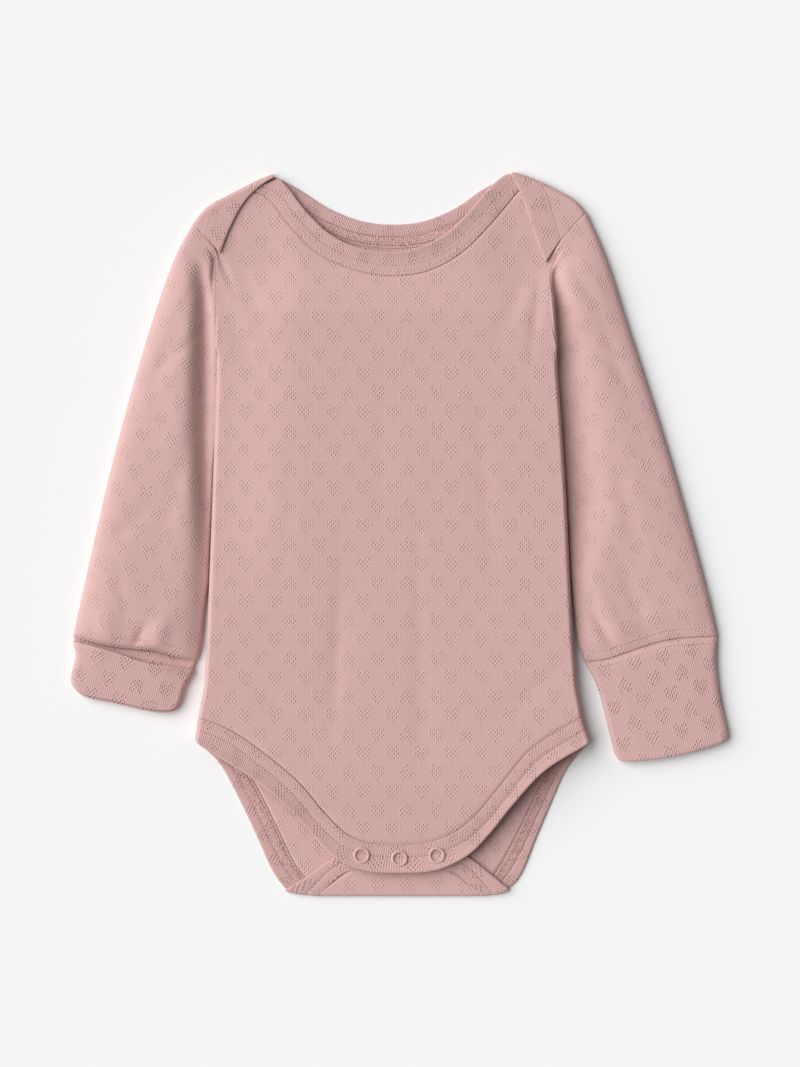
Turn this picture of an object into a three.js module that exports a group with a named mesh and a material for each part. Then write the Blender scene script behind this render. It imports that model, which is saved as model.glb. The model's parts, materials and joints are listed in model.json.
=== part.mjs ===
// A baby's long-sleeved bodysuit with lapped shoulders, three crotch snaps and long cuffs,
// fastened and laid flat on its back, seen from above. Millimetres, +Z up, +Y towards the neck.
// Left and right are the wearer's, so the wearer's right is on -X. The origin is at the middle
// of the outline, on the surface that the garment lies on.
import * as THREE from 'three';

// Cloth thicknesses, and the gap that stands for each seam
const jersey = 1.0;
const binding = 1.4;
const doubled = 1.6;
const seamGap = 0.3;
const armholeGap = 0.55;

// Heights of the middle of each layer: the back lies on the surface, the front lies over it, comes
// down to 'underLap' at the neck and shoulders, and rises over the folded tab at the crotch.
const back = jersey / 2;
const backBand = binding / 2;
const front = 4.1;
const underLap = 2.4;
const tabHeight = 2.7;
const snapLift = 1.5;
const neckFall = { from: 105, to: 138 };
const crotchRise = { from: -140, to: -165, outside: 62, inside: 30 };

// The round edge where the cloth turns from the back to the front
// and how far the cut edges of its two halves lean towards each other, as a share of the cloth
const roll = { centre: (back + front) / 2, radius: (front - back) / 2, lean: 0.2 };
const rollAngles = [0, 30, 60, 90].map(THREE.MathUtils.degToRad);
const foldAngles = [0, 36, 72, 108, 144, 180].map(THREE.MathUtils.degToRad);

// A table's rows as records, by the names of its columns.
function table(columns, ...rows) {
  const names = columns.split(' ');
  return rows.map((row) => Object.fromEntries(names.map((name, i) => [name, row[i]])));
}

// The body's side edges, level by level from the underarm to the leg openings
const sideSeams = table('y right left',
  [99, -98.6, 84.2],
  [60, -99.8, 87.2],
  [18, -101.3, 89.8],
  [-25, -102.9, 91.8],
  [-58, -104.2, 93.4],
  [-82, -105.6, 95.4],
  [-99, -108.9, 98.6],
  [-112.4, -110.9, 102.8]);
const underarm = sideSeams[0].y;
const legTop = -99;

// For each side: the armhole from the shoulder down, the fold over the shoulder from the armhole
// to the neck, the share of it that is panel before the neck band begins, the share of the armhole
// where the lap's seam ends, and the band's lap from there up to the fold. 'lapEnd' is the share of
// the armhole over which the front comes out from under the lap.
// A band's row gives a point of its free edge and the point of its seam across from it.
const shoulders = {
  right: {
    armhole: table('x y', [-111.3, 168.1], [-104.2, 159.7], [-98.1, 150.3], [-97.7, 136], [-98.6, 99]),
    fold: table('x y', [-111.3, 168.1], [-104.8, 175.6], [-90.7, 184], [-76, 192.4], [-68.6, 194.8]),
    bandFrom: 0.31,
    lapSeamAt: 0.11,
    lap: table('x y seamX seamY',
      [-96.9, 151.3, -106.1, 161.9],
      [-92.2, 163.3, -104.9, 167.5],
      [-84.9, 177.2, -103.4, 171.6],
      [-78.4, 184.8, -101.6, 174.6]),
  },
  left: {
    armhole: table('x y', [100.3, 173.5], [92.3, 165.9], [82.9, 152.4], [79.1, 140.5], [84.2, 99]),
    fold: table('x y', [100.3, 173.5], [93.9, 180.1], [77.7, 189.1], [66.9, 194.3], [60.5, 195.9]),
    bandFrom: 0.6,
    lapSeamAt: 0.22,
    lap: table('x y seamX seamY',
      [78.4, 146.2, 86.5, 158.6],
      [74.6, 155.3, 84.6, 165.4],
      [69.3, 171.4, 81.6, 174.6],
      [65.6, 182.4, 79.2, 182.6]),
  },
};
const lapEnd = { from: 0.28, to: 0.38 };

const backNeck = table('x y seamX seamY',
  [-61, 189.4, -82, 175.6],
  [-52.4, 184.3, -61, 172.4],
  [-38.9, 175.6, -44.8, 163.8],
  [-21, 168.6, -25, 156.2],
  [-4.3, 166.7, -4.3, 153.8],
  [12, 168.4, 16, 156],
  [29.7, 175.6, 36.5, 164.3],
  [44, 185.4, 53, 175.4]);

const frontNeck = table('x y seamX seamY',
  [-67.6, 190.6, -80.5, 185.2],
  [-59.5, 185.4, -70.8, 181],
  [-51.4, 174.6, -61.4, 169],
  [-38.6, 162.1, -46.6, 153.2],
  [-24.9, 154.9, -29.6, 144],
  [-10.3, 152.3, -12.4, 139.5],
  [2, 152.3, 4, 139.3],
  [14, 154.7, 18.8, 142.8],
  [26.4, 160.2, 34, 150.6],
  [38.5, 170.2, 47.6, 162.6],
  [48.2, 182, 58.4, 175.8],
  [58, 191.2, 67.6, 186.8]);

const frontLeg = table('x y seamX seamY',
  [-110.9, -112.4, -108.9, -99],
  [-96.2, -120.9, -91.6, -105.8],
  [-78.9, -132.1, -71.5, -119.6],
  [-62, -146.1, -53.6, -135],
  [-48.6, -160.4, -39.4, -151.8],
  [-35.4, -174.2, -27.6, -162.6],
  [-20, -181.2, -14.6, -166.9],
  [0, -182.7, 0, -167.9],
  [20, -181, 15.4, -166.6],
  [37.2, -172.7, 29.2, -161.4],
  [48.4, -161.4, 40.4, -152.4],
  [60.6, -146, 52.6, -137.8],
  [77.5, -127.8, 70.2, -116.8],
  [102.8, -112.4, 98.6, -99]);

// The back legs, from the side to the fold at the bottom, and the tab that folds up from it
const backLegs = {
  right: table('x y seamX seamY',
    [-110.9, -112.4, -108.9, -99],
    [-98.8, -122.4, -90.4, -117.2],
    [-87.6, -142, -77.4, -136.8],
    [-77.6, -163, -66.4, -158.6],
    [-68.6, -182.6, -55.4, -180.4],
    [-61.8, -192.3, -43.2, -194]),
  left: table('x y seamX seamY',
    [102.8, -112.4, 98.6, -99],
    [90.2, -126.8, 82.4, -124],
    [81.2, -146, 71.8, -145],
    [73.4, -164.4, 62.4, -164.2],
    [66, -182.6, 52.8, -181.6],
    [59.6, -192.4, 43.2, -194]),
};
const tab = table('x y seamX seamY',
  [-61.8, -192.3, -43.2, -194],
  [-48.1, -183.4, -36.6, -188.2],
  [-36.4, -175, -30, -183],
  [-28, -170.6, -25.6, -182],
  [0, -169.6, 0, -181.8],
  [28, -170.8, 25.6, -182],
  [37, -174.6, 30, -183],
  [48.6, -183.4, 36.6, -188.2],
  [59.6, -192.4, 43.2, -194]);

// Sleeves: the outer edge, the line where the cuff is sewn on, and the inner edge, which lies
// tucked against the body down to 'tuckedTo' and then leaves it
const tuck = 0.5;
const tuckedTo = -25;
const sleeves = {
  right: {
    outer: table('x y',
      [-111.3, 168.1], [-121, 149.7], [-133.4, 115.2], [-153.1, 46], [-171.2, -31.7], [-176.3, -55.5]),
    end: table('x y', [-176.3, -55.5], [-157.2, -60.1], [-139.6, -62.2], [-123, -66.7], [-109.8, -69]),
    innerEnd: table('x y', [-105.4, -42], [-107.4, -60.9], [-109.8, -69]),
    under: 1.8,
    over: 3.6,
  },
  left: {
    outer: table('x y',
      [100.3, 173.5], [110.7, 149.7], [122, 115.2], [144.2, 46], [165.8, -31.7], [171.2, -54.9]),
    end: table('x y', [171.2, -54.9], [144.5, -56.9], [124, -63], [111, -67.4], [99.3, -68.7]),
    innerEnd: table('x y', [94, -44], [96.2, -60.9], [99.3, -68.7]),
    under: back,
    over: front,
  },
};
const sleevePuff = 0.9;

// The straight cuff: its two sides and its hem, and how far its top lies above the sleeve's
const straightCuff = {
  lift: 0.2,
  outer: table('x y', [171.2, -55.2], [170.5, -66], [172.6, -87], [178.1, -111.5]),
  inner: table('x y', [99.4, -69], [105.8, -81.2], [111.8, -102.9], [116.6, -123.6]),
  hem: table('x y', [178.1, -111.5], [156.2, -118.1], [138.6, -121.6], [116.6, -123.6]),
};

// The turned-back cuff: the fold at its lower end, and the lip that lies over the seam
const turnedCuff = {
  outer: table('x y', [-176.6, -57.6], [-175, -65], [-177.9, -79.5], [-176.6, -87.4]),
  inner: table('x y', [-110.4, -73.6], [-115.6, -82.1], [-119.3, -97.4]),
  fold: table('x y', [-176.6, -87.4], [-156.1, -91], [-134.1, -95.9], [-119.3, -97.4]),
  lip: table('x y', [-176.6, -57.6], [-153.4, -64.5], [-128.5, -69.8], [-110.4, -73.6]),
  inside: { inset: 1.8, under: 1.8, over: 3.6 },
  outside: { inset: jersey / 2, under: back, over: 5 },
};

const snap = { outer: 4.4, inner: 3.0, height: 0.9, sides: 16 };
const snaps = table('x y', [-20.7, -173.2], [-0.3, -174.9], [19.8, -173.2]);

// The largest soft folds, as troughs in the cloth that lies on top
const troughs = table('x y heading length width depth',
  [-80, 128, -70, 56, 13, 0.5],
  [62, 126, -112, 60, 13, 0.5],
  [-126, 96, 64, 48, 11, 0.7],
  [-118, 34, 76, 76, 12, 0.6],
  [-148, 2, 42, 44, 12, 0.6],
  [117, 92, 112, 50, 12, 0.7],
  [122, 14, 104, 70, 12, 0.6],
  [140, -34, 150, 38, 9, 0.5],
  [-34, -66, 82, 110, 22, 0.5],
  [12, -96, 92, 84, 20, 0.5],
  [-70, -88, -38, 50, 13, 0.5],
  [72, -84, -140, 50, 13, 0.5]);

const lerp = THREE.MathUtils.lerp;

const even = (steps) => Array.from({ length: steps + 1 }, (_, i) => i / steps);

// Smooth step between two levels, which may run downwards.
function ease(value, from, to) {
  const share = THREE.MathUtils.clamp((value - from) / (to - from), 0, 1);
  return share * share * (3 - 2 * share);
}

const curveThrough = (points) => new THREE.CatmullRomCurve3(points, false, 'centripetal');
const curve = (rows) => curveThrough(rows.map(({ x, y }) => new THREE.Vector3(x, y, 0)));
const seamCurve = (rows) => curve(rows.map(({ seamX, seamY }) => ({ x: seamX, y: seamY })));

// Lines joined end to end, each corner once.
const joined = (...lines) => lines.flatMap((line, i) => (i ? line.slice(1) : line));

// The side edge's x at a level.
function sideX(y, side) {
  const at = THREE.MathUtils.clamp(y, sideSeams.at(-1).y, underarm);
  const i = Math.max(1, sideSeams.findIndex((row) => row.y <= at));
  const share = (at - sideSeams[i - 1].y) / (sideSeams[i].y - sideSeams[i - 1].y);
  return lerp(sideSeams[i - 1][side], sideSeams[i][side], share);
}

// A table's rows kept inside the side edges by half the cloth.
const insideEdges = (rows, thickness) => rows.map(({ x, y, seamX, seamY }) => {
  const kept = (at, level) => THREE.MathUtils.clamp(
    at, sideX(level, 'right') + thickness / 2, sideX(level, 'left') - thickness / 2);
  return { x: kept(x, y), y, seamX: kept(seamX, seamY), seamY };
});

// Points up a side edge, inside it by half the cloth, or outside it for a negative inset.
const sideLine = (side, inset, from, to, steps) => even(steps).map((share) => {
  const y = lerp(from, to, share);
  return new THREE.Vector3(sideX(y, side) + (side === 'right' ? inset : -inset), y, 0);
});

function troughDepth(x, y) {
  return troughs.reduce((depth, trough) => {
    const turn = THREE.MathUtils.degToRad(trough.heading);
    const dx = x - trough.x;
    const dy = y - trough.y;
    const on = (dx * Math.cos(turn) + dy * Math.sin(turn)) / (trough.length / 2);
    const off = (dy * Math.cos(turn) - dx * Math.sin(turn)) / (trough.width / 2);
    return depth + trough.depth * Math.exp(-1.5 * (on * on + off * off));
  }, 0);
}

// The front's height, before its troughs: down at the neck and up at the crotch.
function frontHeight(x, y) {
  const fall = (front - underLap) * ease(y, neckFall.from, neckFall.to);
  const rise = snapLift * ease(y, crotchRise.from, crotchRise.to)
    * ease(Math.abs(x), crotchRise.outside, crotchRise.inside);
  return front - fall + rise;
}

// A layer's height, carried round the roll along the body's sides below the underarm.
function rolled(x, y, height, thickness) {
  const fromSide = Math.min(x - sideX(y, 'right'), sideX(y, 'left') - x) - thickness / 2;
  const left = THREE.MathUtils.clamp(1 - fromSide / roll.radius, 0, 1);
  const apart = seamGap / 2 + roll.lean * thickness;
  const bend = Math.max(Math.sqrt(1 - left * left), apart / roll.radius);
  return lerp(height, lerp(roll.centre, height, bend), ease(y, underarm, underarm - 6));
}

// A grid in plan lifted to a height that may change from place to place.
const raised = (grid, height) => grid.map((row) => row.map(
  ({ x, y }) => new THREE.Vector3(x, y, height(x, y))));
const atHeight = (grid, z) => raised(grid, () => z);

// A grid of points between four edge lines: bottom and top along its rows, left and right up them.
function between(bottom, top, left, right) {
  const [start, end] = [bottom[0], bottom.at(-1)];
  const columnShare = bottom.map((p) => (p.x - start.x) / (end.x - start.x));
  return left.map((_, i) => bottom.map((__, j) => {
    const u = columnShare[j];
    const v = i / (left.length - 1);
    const corners = (axis) => lerp(
      lerp(start[axis], end[axis], u), lerp(top[0][axis], top.at(-1)[axis], u), v);
    const place = (axis) => lerp(left[i][axis], right[i][axis], u)
      + lerp(bottom[j][axis], top[j][axis], v) - corners(axis);
    return new THREE.Vector3(place('x'), place('y'), 0);
  }));
}

// A band's strip: a cross row at each share of its table, from the free edge to the seam.
function strip(rows, shares, across = 3) {
  const free = curve(rows);
  const seam = seamCurve(rows);
  return shares.map((share) => {
    const [from, to] = [free.getPoint(share), seam.getPoint(share)];
    const clear = 1 - seamGap / from.distanceTo(to);
    return even(across).map((step) => from.clone().lerp(to, step * clear));
  });
}

// Shares of a line with close ones where it comes off the side roll: at its start, or at both ends.
function offRoll(steps, length, bothEnds) {
  const close = rollAngles.map((turn) => roll.radius * (1 - Math.cos(turn)) / length);
  const far = bothEnds ? 1 - close.at(-1) : 1;
  const middle = even(steps).slice(1, bothEnds ? -1 : undefined)
    .map((share) => lerp(close.at(-1), far, share));
  const last = bothEnds ? close.map((share) => 1 - share).reverse() : [];
  return [...close, ...middle, ...last];
}

// A row of points carried round a fold, one row for each angle, from the lower layer to the upper.
const folded = (row, outward, lower, upper) => foldAngles.map((turn) => row.map((p, i) => {
  const radius = (upper - lower) / 2;
  const q = p.clone().addScaledVector(outward(i), radius * Math.sin(turn));
  return q.setZ((upper + lower) / 2 - radius * Math.cos(turn));
}));

// A closed solid of the cloth's thickness round grids that share their edge points.
function cloth(thickness, grids, tube = false) {
  const points = [];
  const faces = [];
  const known = new Map();
  const index = (p) => {
    const key = p.toArray().map((value) => value.toFixed(3)).join();
    if (!known.has(key)) known.set(key, points.push(p) - 1);
    return known.get(key);
  };
  for (const grid of grids) {
    const ids = grid.map((row) => row.map(index));
    for (let i = 0; i + 1 < ids.length; i++) {
      for (let j = 0; j + (tube ? 0 : 1) < ids[i].length; j++) {
        const next = (j + 1) % ids[i].length;
        faces.push([ids[i][j], ids[i][next], ids[i + 1][next]]);
        faces.push([ids[i][j], ids[i + 1][next], ids[i + 1][j]]);
      }
    }
  }
  const normals = points.map(() => new THREE.Vector3());
  for (const face of faces) {
    const [a, b, c] = face.map((corner) => points[corner]);
    const normal = b.clone().sub(a).cross(c.clone().sub(a)).normalize();
    face.forEach((corner) => normals[corner].add(normal));
  }
  normals.forEach((normal) => normal.normalize());
  const side = (way) => points.flatMap(
    (p, i) => p.clone().addScaledVector(normals[i], way * thickness / 2).toArray());

  // The free edges run one way only. Each gets a wall between the two faces of the cloth.
  const edges = new Map();
  for (const [a, b, c] of faces) {
    for (const [from, to] of [[a, b], [b, c], [c, a]]) {
      if (!edges.delete(`${to},${from}`)) edges.set(`${from},${to}`, [from, to]);
    }
  }
  const under = points.length;
  const solid = new THREE.BufferGeometry();
  solid.setAttribute('position', new THREE.Float32BufferAttribute([...side(1), ...side(-1)], 3));
  solid.setIndex([
    ...faces.flatMap(([a, b, c]) => [a, b, c, a + under, c + under, b + under]),
    ...[...edges.values()].flatMap(([a, b]) => [a, a + under, b + under, a, b + under, b]),
  ]);
  return solid;
}

const garment = new THREE.Group();
const pink = { outside: 0xd1aca9, binding: 0xcda6a5, inside: 0xc79c9c, ring: 0xcfa5a4 };

function add(name, geometry, color, roughness = 0.9) {
  const material = new THREE.MeshStandardMaterial({ color, roughness, metalness: 0 });
  const mesh = new THREE.Mesh(geometry, material);
  mesh.name = name;
  garment.add(mesh);
}

// The fold over a shoulder: where the cloth leaves the lower layer, inside the outline by the roll
// and half the cloth, over a stretch of the fold from the armhole (0) to the neck (1).
function shoulderFold(side, thickness, from, to, steps) {
  const outline = curve(shoulders[side].fold);
  const out = side === 'right' ? 1 : -1;
  return even(steps).map((share) => {
    const at = lerp(from, to, share);
    const way = outline.getTangentAt(at);
    const outward = new THREE.Vector3(-way.y * out, way.x * out, 0);
    const radius = (front - (thickness === jersey ? back : backBand)) / 2;
    const inside = outline.getPointAt(at).addScaledVector(outward, -radius - thickness / 2);
    return { at: inside, outward };
  });
}

const armhole = (side, from, to, steps) => {
  const line = curve(shoulders[side].armhole);
  return even(steps).map((share) => line.getPointAt(lerp(from, to, share)));
};

// A lap's table, ended where its band meets the shoulder fold, a share of the fold clear of the panel
const bandClear = 0.03;
const bandFold = (side) => shoulderFold(side, binding, 1, shoulders[side].bandFrom + bandClear, 3);
const foldRow = (fold) => {
  const [free, seam] = [fold[0].at, fold.at(-1).at];
  return { x: free.x, y: free.y, seamX: seam.x, seamY: seam.y };
};
const lapRows = (side) => [...shoulders[side].lap, foldRow(bandFold(side))];

// Rows up each stretch of the body's edge, the height below the underarm where the side's rows end,
// and the share of the armhole where the fold over the shoulder starts
const bodyRows = { side: 9, armhole: 8, shoulder: 4 };
const sideTop = underarm - 4;
const foldStart = 0.033;

// The panel part of each lap, folded over the shoulder from the back panel's edge
function lapPanel(side, edge) {
  const seam = seamCurve(lapRows(side));
  const reach = 0.94;
  const { lapSeamAt } = shoulders[side];
  const top = edge.map(({ at }, i) => {
    if (i === 0) return armhole(side, foldStart, lapSeamAt, 3).map((p) => p.setZ(front));
    const to = seam.getPoint(reach * i / (edge.length - 1));
    const clear = 1 - 2 * seamGap / at.distanceTo(to);
    return even(3).map((share) => at.clone().lerp(to, share * clear).setZ(front));
  });
  const round = folded(edge.map(({ at }) => at), (i) => edge[i].outward, back, front);
  return edge.map((_, i) => [...round.map((row) => row[i]), ...top[i].slice(1)]);
}

// One side of the back panel: up the side, up the armhole and along the shoulder fold
function backEdge(side) {
  const fold = shoulderFold(side, jersey, 0, shoulders[side].bandFrom, bodyRows.shoulder);
  const arm = armhole(side, 1, foldStart, bodyRows.armhole);
  fold[0] = { at: arm.at(-1), outward: arm.at(-1).clone().sub(arm.at(-2)).normalize() };
  const below = sideLine(side, jersey / 2, legTop, sideTop, bodyRows.side);
  return { fold, line: joined(below, arm, fold.map(({ at }) => at)) };
}

// Shares along the back legs and across the body, from steps and a length in mm
const legShares = offRoll(8, 80, false);
const bodyShares = offRoll(25, 190, true);

function backPanel() {
  const right = backEdge('right');
  const left = backEdge('left');
  const leg = (side) => {
    const seam = seamCurve(insideEdges(backLegs[side], jersey));
    return legShares.map((share) => seam.getPoint(share));
  };
  const [rightLeg, leftLeg] = [leg('right'), leg('left').reverse()];
  const [from, to] = [rightLeg.at(-1), leftLeg[0]];
  const fold = even(6).map((share) => from.clone().lerp(to, share));
  const bottom = joined(rightLeg, fold, leftLeg);
  const neckSeam = ({ x, y }) => ({ seamX: x, seamY: y });
  const neck = seamCurve([neckSeam(right.line.at(-1)), ...backNeck, neckSeam(left.line.at(-1))]);
  const width = bottom.at(-1).x - bottom[0].x;
  const top = bottom.map((p) => neck.getPoint((p.x - bottom[0].x) / width));
  const flat = between(bottom, top, right.line, left.line);
  const base = raised(flat, (x, y) => rolled(x, y, back, jersey));

  // The tab ends at its middle rows' seam, under the front
  const tabSeam = { from: tab[3].seamX, to: tab[5].seamX, y: tab[3].seamY };
  const tabEnd = even(6).map((share) => new THREE.Vector3(
    lerp(tabSeam.from, tabSeam.to, share), tabSeam.y, 0));
  const tabTop = even(2).map((share) => fold.map(
    (p, i) => tabEnd[i].clone().lerp(p, share).setZ(tabHeight)));
  const turned = folded(fold, () => new THREE.Vector3(0, -1, 0), back, tabHeight).reverse();
  const first = base.length - right.fold.length;
  const rightLap = lapPanel('right', right.fold).map(
    (row, i) => [base[first + i][0], ...row.slice(1)].reverse());
  const leftLap = lapPanel('left', left.fold).map(
    (row, i) => [base[first + i].at(-1), ...row.slice(1)]);
  const start = rightLeg.length - 1;
  const tabGrid = [...tabTop.slice(0, -1), ...turned];
  tabGrid[tabGrid.length - 1] = base[0].slice(start, start + fold.length);
  return cloth(jersey, [base, tabGrid, rightLap, leftLap]);
}

// The front panel: up each side and up a share of the armhole, and across under the laps
function frontPanel() {
  const reach = 0.12;
  const edge = (side, corner) => joined(
    sideLine(side, jersey / 2, legTop, sideTop, bodyRows.side),
    armhole(side, 1, reach, bodyRows.armhole),
    even(2).map((share) => armhole(side, 1, reach, 1)[1].lerp(corner, share)));
  const [neck, legs] = [seamCurve(frontNeck), seamCurve(insideEdges(frontLeg, jersey))];
  const top = bodyShares.map((share) => neck.getPoint(share));
  const bottom = bodyShares.map((share) => legs.getPoint(share));
  const right = edge('right', top[0]);
  const left = edge('left', top.at(-1));
  const grid = between(bottom, top, right, left);
  const height = (x, y) => rolled(x, y, frontHeight(x, y) - troughDepth(x, y), jersey);
  return cloth(jersey, [raised(grid, height)]);
}

function frontLegBand() {
  const grid = strip(insideEdges(frontLeg, binding), bodyShares);
  return cloth(binding, [raised(grid, (x, y) => rolled(x, y, frontHeight(x, y), binding))]);
}

// The back leg band: down the right leg, round the bottom fold, over the tab, and back up the left
function backLegBand() {
  const height = (x, y) => rolled(x, y, backBand, binding);
  const leg = (side) => raised(strip(insideEdges(backLegs[side], binding), legShares), height);
  const [right, left] = [leg('right'), leg('left')];
  const turn = (row) => folded(row, () => new THREE.Vector3(0, -1, 0), backBand, tabHeight);
  const tabRows = 24;
  const over = atHeight(strip(tab, even(tabRows)), tabHeight);
  const rows = [
    ...right.slice(0, -1), ...turn(right.at(-1)),
    ...over.slice(1, -1),
    ...turn(left.at(-1)).reverse(), ...left.slice(0, -1).reverse(),
  ];
  return cloth(binding, [rows]);
}

const frontNeckBand = () => cloth(binding, [atHeight(strip(frontNeck, bodyShares), underLap)]);

// The back neck band: up the right lap, over the shoulder, round the neck, and down the left lap
function backNeckBand() {
  const folds = { right: bandFold('right'), left: bandFold('left') };
  const rows = { lap: 10, neck: 27 };
  const turn = (fold) => folded(fold.map(({ at }) => at), (i) => fold[i].outward, backBand, front);
  const lap = (side) => [
    ...atHeight(strip(lapRows(side), even(rows.lap)).slice(0, -1), front),
    ...turn(folds[side]).reverse(),
  ];
  const around = [foldRow(folds.right), ...backNeck, foldRow(folds.left)];
  const neck = strip(around, even(rows.neck)).slice(1, -1);
  return cloth(binding, [[...lap('right'), ...atHeight(neck, backBand), ...lap('left').reverse()]]);
}

// A flat ring of cloth along a line in plan, rolled at both ends, inside its outline by the inset.
function ring(line, { inset, under, over }, crown = () => 0, across = 5) {
  const length = line.getLength();
  const radius = (over - under) / 2;
  const centre = (over + under) / 2;
  const start = rollAngles.slice(0, -1).map((turn) => ({
    at: inset + radius * (1 - Math.cos(turn)), lift: Math.sin(turn) }));
  const middle = even(across).map((share) => ({
    at: lerp(inset + radius, length - inset - radius, share), lift: 1 }));
  const finish = start.map(({ at, lift }) => ({ at: length - at, lift })).reverse();
  const places = [...start, ...middle, ...finish];
  const points = (way) => places.map(({ at, lift }) => {
    const p = line.getPointAt(at / length);
    const extra = way > 0 && lift === 1 ? crown(p.x, p.y, at / length) : 0;
    return p.setZ(centre + way * radius * lift + extra);
  });
  return [...points(1), ...points(-1).slice(1, -1).reverse()];
}

// A sleeve's rings lie along its length. Its upper layer puffs up a little, has its folds, and
// sinks beside the armhole where the front sinks. Each is eased in and out by shares of the length.
const sleeveRings = 17;
const easing = { puffIn: 0.2, puffOut: 0.85, sunk: 0.1, foldIn: 0.1, foldOut: 0.95, cuff: 0.9 };

function sleeve(side) {
  const { outer, end, innerEnd, under, over } = sleeves[side];
  const out = side === 'right' ? -1 : 1;
  const inner = curveThrough([
    ...sideLine(side, -tuck, underarm, tuckedTo, 6),
    ...innerEnd.map(({ x, y }) => new THREE.Vector3(x, y, 0))]);
  const outerLine = curve(outer);
  const endLine = curve(end);
  const seam = armhole(side, 0, 1, 10).map((p) => p.setX(p.x + out * armholeGap));
  const down = even(sleeveRings).slice(1);
  const lines = between(
    seam,
    even(10).map((share) => endLine.getPointAt(share)),
    [seam[0], ...down.map((share) => outerLine.getPointAt(share))],
    [seam.at(-1), ...down.map((share) => inner.getPointAt(share))]);
  return cloth(jersey, [lines.map((row, i) => {
    const along = i / sleeveRings;
    const near = ease(along, easing.cuff, 1);
    const height = { inset: jersey / 2, under: lerp(back, under, near), over: lerp(front, over, near) };
    const puffed = sleevePuff * ease(along, 0, easing.puffIn) * ease(along, 1, easing.puffOut);
    const creased = ease(along, 0, easing.foldIn) * ease(along, 1, easing.foldOut);
    return ring(curveThrough(row), height, (x, y, share) => {
      const arch = Math.sin(Math.PI * share);
      const clearOfLap = ease(share, lapEnd.from, lapEnd.to);
      const sunk = (front - frontHeight(x, y)) * ease(along, easing.sunk, 0) * clearOfLap;
      return puffed * arch - sunk - creased * arch * troughDepth(x, y);
    });
  })], true);
}

const pointsOn = (rows, steps) => {
  const line = curve(rows);
  return even(steps).map((share) => line.getPointAt(share));
};

// The straight cuff, of doubled cloth, from the sleeve's end to its hem
function leftCuff() {
  const end = pointsOn(sleeves.left.end, 8).map((p) => p.setY(p.y - seamGap));
  const [hem, outer, inner] = ['hem', 'outer', 'inner'].map((edge) => pointsOn(straightCuff[edge], 8));
  const height = { inset: doubled / 2, under: doubled / 2, over: front + straightCuff.lift };
  const rings = between(end, hem, outer, inner).map((row) => ring(curveThrough(row), height));
  return cloth(doubled, [rings], true);
}

// The turned-back cuff: down inside from the seam, round the fold, and back up outside to the lip
function rightCuff() {
  const { outer, inner, fold, lip, inside, outside } = turnedCuff;
  const steps = 6;
  const body = between(pointsOn(lip, 8), pointsOn(fold, 8), pointsOn(outer, steps), pointsOn(inner, steps));
  const radius = jersey / 2 + (outside.over - inside.over) / 2;
  const shifted = (row, up) => curveThrough(row.map((p) => p.clone().setY(p.y + up)));
  const end = sleeves.right.end.map(({ x, y }) => ({ x, y: y - seamGap }));
  const seam = ring(curve(end), { ...inside, inset: jersey / 2 });
  const down = body.slice(1, -1).map((row) => ring(shifted(row, 0), inside));
  const round = foldAngles.map((turn) => {
    const share = (1 - Math.cos(turn)) / 2;
    const height = {
      inset: lerp(inside.inset, outside.inset, share),
      under: lerp(inside.under, outside.under, share),
      over: lerp(inside.over, outside.over, share),
    };
    return ring(shifted(body.at(-1), jersey / 2 + radius * (1 - Math.sin(turn))), height);
  });
  const up = body.slice(0, -1).map((row) => ring(shifted(row, 0), outside)).reverse();
  return cloth(jersey, [[seam, ...down, ...round, ...up]], true);
}

// A prong ring lying on the band
function snapRing({ x, y }) {
  const middle = (snap.outer + snap.inner) / 2;
  const reach = (snap.outer - snap.inner) / 2;
  const profile = even(6).map((share) => new THREE.Vector2(
    middle + reach * Math.cos(2 * Math.PI * share), snap.height / 2 * Math.sin(2 * Math.PI * share)));
  profile[profile.length - 1].copy(profile[0]);
  const lift = frontHeight(x, y) + binding / 2 + seamGap + snap.height / 2;
  return new THREE.LatheGeometry(profile, snap.sides).rotateX(Math.PI / 2).translate(x, y, lift);
}

add('back_panel', backPanel(), pink.outside);
add('front_panel', frontPanel(), pink.outside);
add('back_neck_band', backNeckBand(), pink.inside);
add('front_neck_band', frontNeckBand(), pink.binding);
add('back_leg_band', backLegBand(), pink.inside);
add('front_leg_band', frontLegBand(), pink.binding);
add('right_sleeve', sleeve('right'), pink.outside);
add('left_sleeve', sleeve('left'), pink.outside);
add('right_cuff', rightCuff(), pink.outside);
add('left_cuff', leftCuff(), pink.outside);
snaps.forEach((place, i) => add(`snap_ring_${i + 1}`, snapRing(place), pink.ring, 0.5));

export default garment;
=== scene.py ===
# %% [markdown]
# # A baby's bodysuit, laid flat
#
# This lesson dresses a long-sleeved bodysuit in dusty pink openwork jersey. It lies on its back
# on a pale table, seen from straight above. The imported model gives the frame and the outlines.
# Here each cut piece is drafted again as a fine shell of cloth, with its rolled edges, its
# bindings and stitches, and the small holes of the knitted hearts.

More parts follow.
